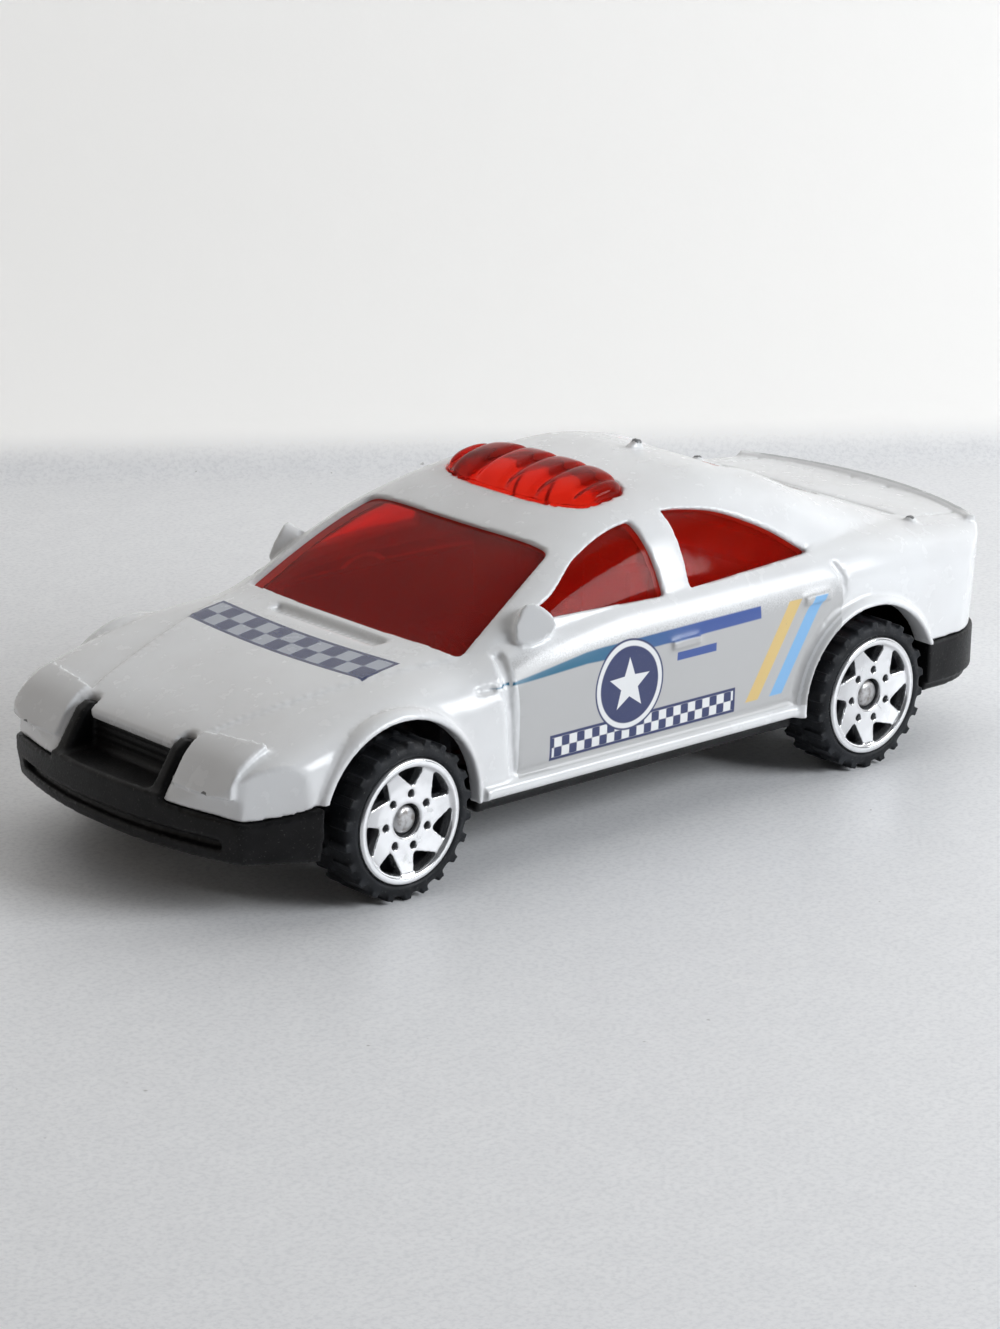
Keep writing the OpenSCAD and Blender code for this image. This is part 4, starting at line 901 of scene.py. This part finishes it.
def bumped(height, strength, distance):
    step = node("Bump")
    for label, value in (("Strength", strength), ("Distance", distance * mm), ("Height", height)):
        feed(step.inputs[label], value)
    return step.outputs["Normal"]


def inMillimetres():
    # the place on the piece in millimetres, its parts, and the parts of the surface's direction
    where, scale = node("TexCoord"), node("VectorMath")
    scale.operation = "SCALE"
    feed(scale.inputs["Scale"], 1 / mm)
    feed(scale.inputs[0], where.outputs["Object"])
    at, towards = node("SeparateXYZ"), node("SeparateXYZ")
    feed(at.inputs[0], scale.outputs[0])
    feed(towards.inputs[0], where.outputs["Normal"])
    return scale.outputs[0], at.outputs, towards.outputs


# dust that settles on upward faces and in fine specks
dustGroup, into, out = newGroup("settledDust", [("Amount", "NodeSocketFloat")], ["Mask", "Speck"])
where, at, towards = inMillimetres()
cover = times(ramp(noise(where, 0.55, 4), 0.35, 0.75), plus(0.35, ramp(towards[2], -0.1, 0.9)))
feed(out["Mask"], times(cover, into["Amount"]))
feed(out["Speck"], times(ramp(noise(where, 5.5, 2), 0.62, 0.76), into["Amount"]))

# one worn spot round a place on both sides of the car, broken up by noise
wornGroup, into, out = newGroup("wornSpot", [("Place", "NodeSocketVector"), ("Reach", "NodeSocketFloat")], ["Mask"])
where, at, towards = inMillimetres()
mirrored, gap = node("CombineXYZ"), node("VectorMath")
for socket, value in zip(mirrored.inputs, (at[0], absolute(at[1]), at[2])):
    feed(socket, value)
gap.operation = "DISTANCE"
feed(gap.inputs[0], mirrored.outputs[0])
feed(gap.inputs[1], into["Place"])
ragged = plus(calc("DIVIDE", gap.outputs["Value"], into["Reach"]), times(minus(noise(where, 2.6, 4), 0.5), 1.5))
feed(out["Mask"], ramp(ragged, 1.0, 0.82))

enamel = {
    "white": (0.83, 0.84, 0.85, 1), "shade": (0.76, 0.76, 0.765, 1), "silver": (0.50, 0.50, 0.50, 1),
    "blue": (0.035, 0.085, 0.33, 1), "teal": (0.012, 0.14, 0.25, 1), "navy": (0.012, 0.024, 0.115, 1),
    "sand": (0.72, 0.52, 0.20, 1), "sky": (0.22, 0.47, 0.78, 1), "pale": (0.42, 0.45, 0.52, 1),
    "bare": (0.16, 0.165, 0.17, 1), "speck": (0.42, 0.40, 0.37, 1), "dust": 0.04, "coat": 0.3, "coatRoughness": 0.24,
    "slashes": ((-10.6, "sand"), (-13.0, "sky")), "slashHalf": 0.62, "slashLean": 0.62, "slashZ": (7.2, 13.85),
    "doorBand": ((-7.0, 10.2), (6.95, 8.35)), "doorRim": 0.2, "doorSquare": 0.7, "doorStart": 0.2,
    "roundel": (3.1, 10.75), "roundelRings": ((3.2, "navy"), (3.06, "white"), (2.7, "navy")),
    "starTip": 1.95, "starDent": 0.82, "barX": (-5.2, -1.4), "barZ": (11.6, 12.2),
    "hoodBand": ((-9.1, 9.1), (20.0, 22.8)), "hoodRim": 0.25, "hoodSquare": 1.4, "hoodStart": -0.7, "hoodBow": 0.006,
    "wornTips": (((10.0, 14.6, 16.9), 0.45), ((-11.2, 0, 22.95), 0.5), ((-28.5, 11.05, 16.75), 0.4),
                 ((36.0, 9.6, 8.4), 0.3), ((-35.7, 10.2, 15.95), 0.6), ((-12.0, 15.2, 12.4), 0.5)),
    "ventX": (17.15, 18.25), "ventHalf": 5.75, "ribPitch": 0.62,
}


def chequer(across, up, spans, rim, square, start):
    # masks of a chequered band with its outline, and of its light squares
    whole = [within(value, low - rim, high + rim, 0.05) for value, (low, high) in zip((across, up), spans)]
    inside = [within(value, low, high, 0.04) for value, (low, high) in zip((across, up), spans)]
    waves = [calc("SINE", times(minus(value, first), math.pi / square))
             for value, first in ((across, start), (up, spans[1][0]))]
    return times(*whole), times(*inside, ramp(times(*waves), -0.12, 0.12))


def doorLivery(colour, door, x, z):
    # long stripe, teal and thin in front, blue behind
    middle = plus(ramp(x, 14.8, 7.0, 12.6, 13.33, False), ramp(x, 7.0, -12.0, 0.0, 0.28, False))
    half = ramp(x, 14.8, 5.5, 0.05, 0.44, False)
    stripe = times(door, ramp(minus(absolute(minus(z, middle)), half), 0.07, -0.07),
                   ramp(x, -9.6, -9.5), ramp(x, 15.4, 14.6))
    colour = blended(stripe, colour, blended(ramp(x, 9, -6), enamel["teal"], enamel["blue"]))

    # two leaning slashes before the rear arch
    lean = plus(x, times(minus(z, 10.0), enamel["slashLean"]))
    for middle, tone in enamel["slashes"]:
        across = within(lean, middle - enamel["slashHalf"], middle + enamel["slashHalf"], 0.07)
        colour = blended(times(door, across, within(z, *enamel["slashZ"])), colour, enamel[tone])

    # chequered band low on the door
    strip, light = chequer(x, z, enamel["doorBand"], enamel["doorRim"], enamel["doorSquare"], enamel["doorStart"])
    strip = times(door, strip)
    colour = blended(strip, colour, enamel["navy"])
    colour = blended(times(strip, light), colour, enamel["white"])

    # roundel with a five-pointed star
    u, v = (minus(value, middle) for value, middle in zip((x, z), enamel["roundel"]))
    away = calc("SQRT", plus(times(u, u), times(v, v)))
    for edge, tone in enamel["roundelRings"]:
        colour = blended(times(door, ramp(away, edge + 0.05, edge - 0.05)), colour, enamel[tone])
    point = math.radians(36)
    angle = calc("PINGPONG", plus(calc("ARCTAN2", u, v), 2 * math.pi), point)
    along, across = times(away, calc("COSINE", angle)), times(away, calc("SINE", angle))
    tip, dent = enamel["starTip"], enamel["starDent"]
    star = minus(times(minus(tip, along), dent * math.sin(point)), times(across, tip - dent * math.cos(point)))
    colour = blended(times(door, ramp(star, -0.04, 0.04)), colour, enamel["white"])

    # plain bar below the front door handle
    bar = times(door, within(x, *enamel["barX"], 0.05), within(z, *enamel["barZ"], 0.05))
    return blended(bar, colour, enamel["blue"])


def whiteEnamel():
    material, skin = newMaterial("whiteEnamel")
    where, at, towards = inMillimetres()
    x, y, z = at[0], absolute(at[1]), at[2]
    door = times(ramp(absolute(towards[1]), 0.55, 0.72), ramp(z, 15.3, 15.1), ramp(y, 12.4, 12.7))
    colour = blended(ramp(noise(where, 0.12), 0.3, 0.75), enamel["white"], enamel["shade"])

    # silver door panel whose upper edge fades out in fine grains
    rearEdge = ramp(z, 6.0, 12.8, -13.9, -17.9, False)
    grains = times(minus(noise(where, 9, 1), 0.5), 1.6)
    panel = times(door, within(x, -30, 13.2), ramp(minus(x, rearEdge), -0.06, 0.06), ramp(z, 6.05, 6.2),
                  ramp(plus(z, grains), 15.0, 13.3))
    colour = blended(panel, colour, enamel["silver"])
    colour = doorLivery(colour, door, x, z)

    # chequered band across the hood
    bowed = plus(x, times(at[1], at[1], enamel["hoodBow"]))
    strip, light = chequer(at[1], bowed, enamel["hoodBand"], enamel["hoodRim"], enamel["hoodSquare"],
                           enamel["hoodStart"])
    strip = times(ramp(towards[2], 0.6, 0.75), ramp(z, 15.2, 15.0), strip)
    colour = blended(strip, colour, enamel["navy"])
    colour = blended(times(strip, light), colour, enamel["pale"])

    # paint worn to grey metal on the tips that stick out
    worn = times(ramp(z, 15.86, 15.96), ramp(x, -34.5, -34.8), ramp(noise(where, 0.7, 4), 0.3, 0.4), 0.55)
    for spot, reach in enamel["wornTips"]:
        worn = calc("MAXIMUM", worn, useGroup(wornGroup, Place=spot, Reach=reach)["Mask"])
    colour = blended(worn, colour, enamel["bare"])
    colour = blended(useGroup(dustGroup, Amount=enamel["dust"])["Speck"], colour, enamel["speck"])
    feed(skin["Base Color"], colour)
    rough = plus(ramp(noise(where, 0.8, 4), 0.3, 0.7, 0.22, 0.28), times(worn, 0.3))
    feed(skin["Roughness"], plus(rough, times(panel, 0.12)))
    feed(skin["Coat Weight"], enamel["coat"])
    feed(skin["Coat Roughness"], enamel["coatRoughness"])

    # orange peel, the ribs of the vent below the windscreen, and the step down to bare metal
    peel = plus(noise(where, 0.45), times(noise(where, 2.2, 2), 0.25))
    vent = times(within(x, *enamel["ventX"], 0.05), ramp(y, enamel["ventHalf"] + 0.05, enamel["ventHalf"] - 0.05),
                 ramp(towards[2], 0.5, 0.7))
    ribs = times(vent, calc("SINE", times(at[1], 2 * math.pi / enamel["ribPitch"])))
    feed(skin["Normal"], bumped(minus(plus(peel, times(ribs, 0.9)), times(worn, 0.5)), 0.3, 0.05))
    return material


def redPlastic():
    material, skin = newMaterial("redPlastic")
    where = inMillimetres()[0]
    cloud = ramp(noise(where, 0.25), 0.3, 0.7)
    feed(skin["Base Color"], blended(cloud, (0.97, 0.036, 0.014, 1), (0.90, 0.022, 0.010, 1)))
    feed(skin["Transmission Weight"], 0.84)
    feed(skin["IOR"], 1.17)
    feed(skin["Roughness"], ramp(noise(where, 1.6, 5), 0.35, 0.8, 0.05, 0.12))
    feed(skin["Normal"], bumped(noise(where, 0.35, 2), 0.12, 0.1))
    return material


def blackPlastic(name, tone, pale, rough, amount):
    material, skin = newMaterial(name)
    where = inMillimetres()[0]
    colour = blended(ramp(noise(where, 0.5, 4), 0.3, 0.75), tone, pale)
    dust = useGroup(dustGroup, Amount=amount)
    colour = blended(times(dust["Mask"], 0.35), colour, (0.20, 0.19, 0.18, 1))
    feed(skin["Base Color"], blended(dust["Speck"], colour, (0.34, 0.33, 0.31, 1)))
    feed(skin["Specular IOR Level"], 0.2)
    grain = noise(where, 7)
    feed(skin["Roughness"], plus(ramp(grain, 0.3, 0.7, rough - 0.06, rough + 0.08), times(dust["Mask"], 0.2)))
    feed(skin["Normal"], bumped(plus(grain, times(noise(where, 1.2), 0.5)), 0.35, 0.035))
    return material


def brightFoil():
    material, skin = newMaterial("brightFoil")
    where = inMillimetres()[0]
    dull = ramp(noise(where, 1.1, 5), 0.5, 0.85)
    colour = blended(dull, (0.80, 0.805, 0.82, 1), (0.66, 0.66, 0.67, 1))
    feed(skin["Base Color"], blended(useGroup(dustGroup, Amount=0.12)["Speck"], colour, (0.24, 0.23, 0.22, 1)))
    feed(skin["Metallic"], 0.9)
    feed(skin["Roughness"], ramp(dull, 0, 1, 0.2, 0.36))
    feed(skin["Normal"], bumped(noise(where, 2.5), 0.12, 0.02))
    return material


def dullSteel():
    material, skin = newMaterial("dullSteel")
    where = inMillimetres()[0]
    stain = ramp(noise(where, 2.4, 5), 0.4, 0.7)
    feed(skin["Base Color"], blended(stain, (0.50, 0.50, 0.51, 1), (0.27, 0.25, 0.235, 1)))
    feed(skin["Metallic"], 0.85)
    feed(skin["Roughness"], ramp(stain, 0, 1, 0.32, 0.55))
    feed(skin["Normal"], bumped(noise(where, 6, 4), 0.4, 0.03))
    return material


finishes = {
    "white_enamel": whiteEnamel(),
    "red_plastic": redPlastic(),
    "base_plastic": blackPlastic("basePlastic", (0.004, 0.004, 0.0045, 1), (0.010, 0.010, 0.011, 1), 0.4, 0.12),
    "wheel_plastic": blackPlastic("wheelPlastic", (0.008, 0.009, 0.011, 1), (0.018, 0.020, 0.024, 1), 0.5, 0.14),
    "interior_plastic": blackPlastic("interiorPlastic", (0.05, 0.05, 0.053, 1), (0.085, 0.085, 0.09, 1), 0.5, 0.2),
    "bright_foil": brightFoil(),
    "axle_steel": dullSteel(),
}
print("materials made:", len(finishes))


# pieces onto their bodies


def settle(piece, body, slot, *nodes):
    piece.data.materials.clear()
    piece.data.materials.append(finishes[slot])
    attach(piece, body)
    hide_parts(*nodes)


settle(shell, "car", "white_enamel", "body_shell")
settle(glass, "car", "red_plastic", "glazing")
settle(base, "car", "base_plastic", "chassis_base")
settle(axle, "axle_front", "axle_steel", "front_axle")
settle(rearAxle, "axle_rear", "axle_steel", "rear_axle")
for corner in wheelPlaces:
    settle(wheels["tyre", corner], "wheel_set_" + corner, "wheel_plastic", "wheel_" + corner)
    settle(wheels["facing", corner], "wheel_set_" + corner, "bright_foil", "facing_" + corner)
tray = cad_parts["interior_tray"]
for materialSlot in tray.material_slots:
    materialSlot.material = finishes["interior_plastic"]
if not tray.material_slots:
    tray.data.materials.append(finishes["interior_plastic"])


# floor that curves up into a backdrop behind the car

stage = {
    "floor": (0.88, 0.885, 0.90, 1), "bloom": (0.94, 0.945, 0.955, 1), "grit": (0.62, 0.63, 0.66, 1),
    "crumb": (0.3, 0.29, 0.28, 1), "wall": (0.82, 0.81, 0.79, 1), "glow": (1.0, 0.99, 0.965, 1), "glowStrength": 0.27,
    "edge": 88.0, "lean": 0.168, "curve": 5.0, "wide": 900.0, "far": 700,
}
camera = {
    "place": (196.6, 212.5, 97.7), "azimuth": 47.47, "elevation": 17.22, "roll": 1.34, "lens": 115.4, "sensor": 36,
    "clip": (0.01, 10),
}
az, el, roll = (math.radians(camera[key]) for key in ("azimuth", "elevation", "roll"))
behind = np.array([-math.cos(az), -math.sin(az)])
sideways = np.array([-math.sin(az), math.cos(az)])
edge, curve = stage["edge"], stage["curve"]
run = [(-stage["far"], 0), (edge - curve, 0)]
run += [(edge - curve + curve * math.sin(q), curve * (1 - math.cos(q))) for q in np.radians(np.linspace(6, 90, 15))]
run += [(edge, stage["far"])]
sweep = []
for across in np.linspace(-stage["wide"], stage["wide"], 3):
    for along, up in run:
        sweep.append((*(behind * (along + stage["lean"] * across) + sideways * across), up))
begin()
bpy.ops.mesh.primitive_grid_add(x_subdivisions=len(run) - 1, y_subdivisions=2)
floor = outward(added("floorSweep", sweep))
bpy.ops.object.shade_smooth()

material, skin = newMaterial("paleFloor")
where, at, towards = inMillimetres()
height = ramp(at[2], 0.5, 4.0)
ground = blended(times(ramp(noise(where, 0.35, 6, 0.65), 0.35, 0.7), 0.5), stage["floor"], stage["bloom"])
ground = blended(times(ramp(noise(where, 2.6, 3, 0.7), 0.42, 0.66), 0.35), ground, stage["grit"])
ground = blended(times(ramp(noise(where, 0.9, 2), 0.755, 0.79), 0.6), ground, stage["crumb"])
feed(skin["Base Color"], blended(height, ground, stage["wall"]))
feed(skin["Roughness"], ramp(height, 0, 1, 0.42, 0.8))
feed(skin["Emission Color"], stage["glow"])
feed(skin["Emission Strength"], times(height, stage["glowStrength"]))
feed(skin["Normal"], bumped(noise(where, 1.4, 5), 0.1, 0.1))
floor.data.materials.append(material)
print("floor laid")


# lights and camera

# place, target, size, power in watts, colour
lights = {
    "windowLight": ((-190, 310, 185), (0, 0, 8), (220, 180), 1.3, (0.94, 0.97, 1.0)),
    "topLight": ((-60, -40, 380), (0, 0, 0), (300, 300), 0.13, (1.0, 0.96, 0.89)),
    "frontFill": ((300, -80, 130), (10, 0, 8), (260, 260), 0.06, (1.0, 0.86, 0.70)),
}
for name, (spot, target, extent, power, colour) in lights.items():
    begin()
    bpy.ops.object.light_add(type="AREA", location=Vector(spot) * mm)
    light = added(name)
    light.data.shape = "RECTANGLE"
    light.data.size, light.data.size_y = extent[0] * mm, extent[1] * mm
    light.data.energy = power
    light.data.color = colour
    light.rotation_euler = (Vector(target) - Vector(spot)).to_track_quat("-Z", "Y").to_euler()

world = bpy.data.worlds.new("softRoom")
world.use_nodes = True
background = world.node_tree.nodes["Background"]
background.inputs["Color"].default_value = (0.92, 0.94, 1.0, 1)
background.inputs["Strength"].default_value = 0.09
bpy.context.scene.world = world
bpy.context.scene.view_settings.view_transform = "Standard"

back = Vector((math.cos(el) * math.cos(az), math.cos(el) * math.sin(az), math.sin(el)))
right = Vector((0, 0, 1)).cross(back).normalized()
up = back.cross(right)
right, up = math.cos(roll) * right + math.sin(roll) * up, -math.sin(roll) * right + math.cos(roll) * up
begin()
bpy.ops.object.camera_add()
eye = added("photoCamera")
eye.data.lens = camera["lens"]
eye.data.sensor_width = camera["sensor"]
eye.data.clip_start, eye.data.clip_end = camera["clip"]
turned = Matrix((right, up, back)).transposed().to_4x4()
eye.matrix_world = Matrix.Translation(Vector(camera["place"]) * mm) @ turned
bpy.context.scene.camera = eye

print("scene ready")
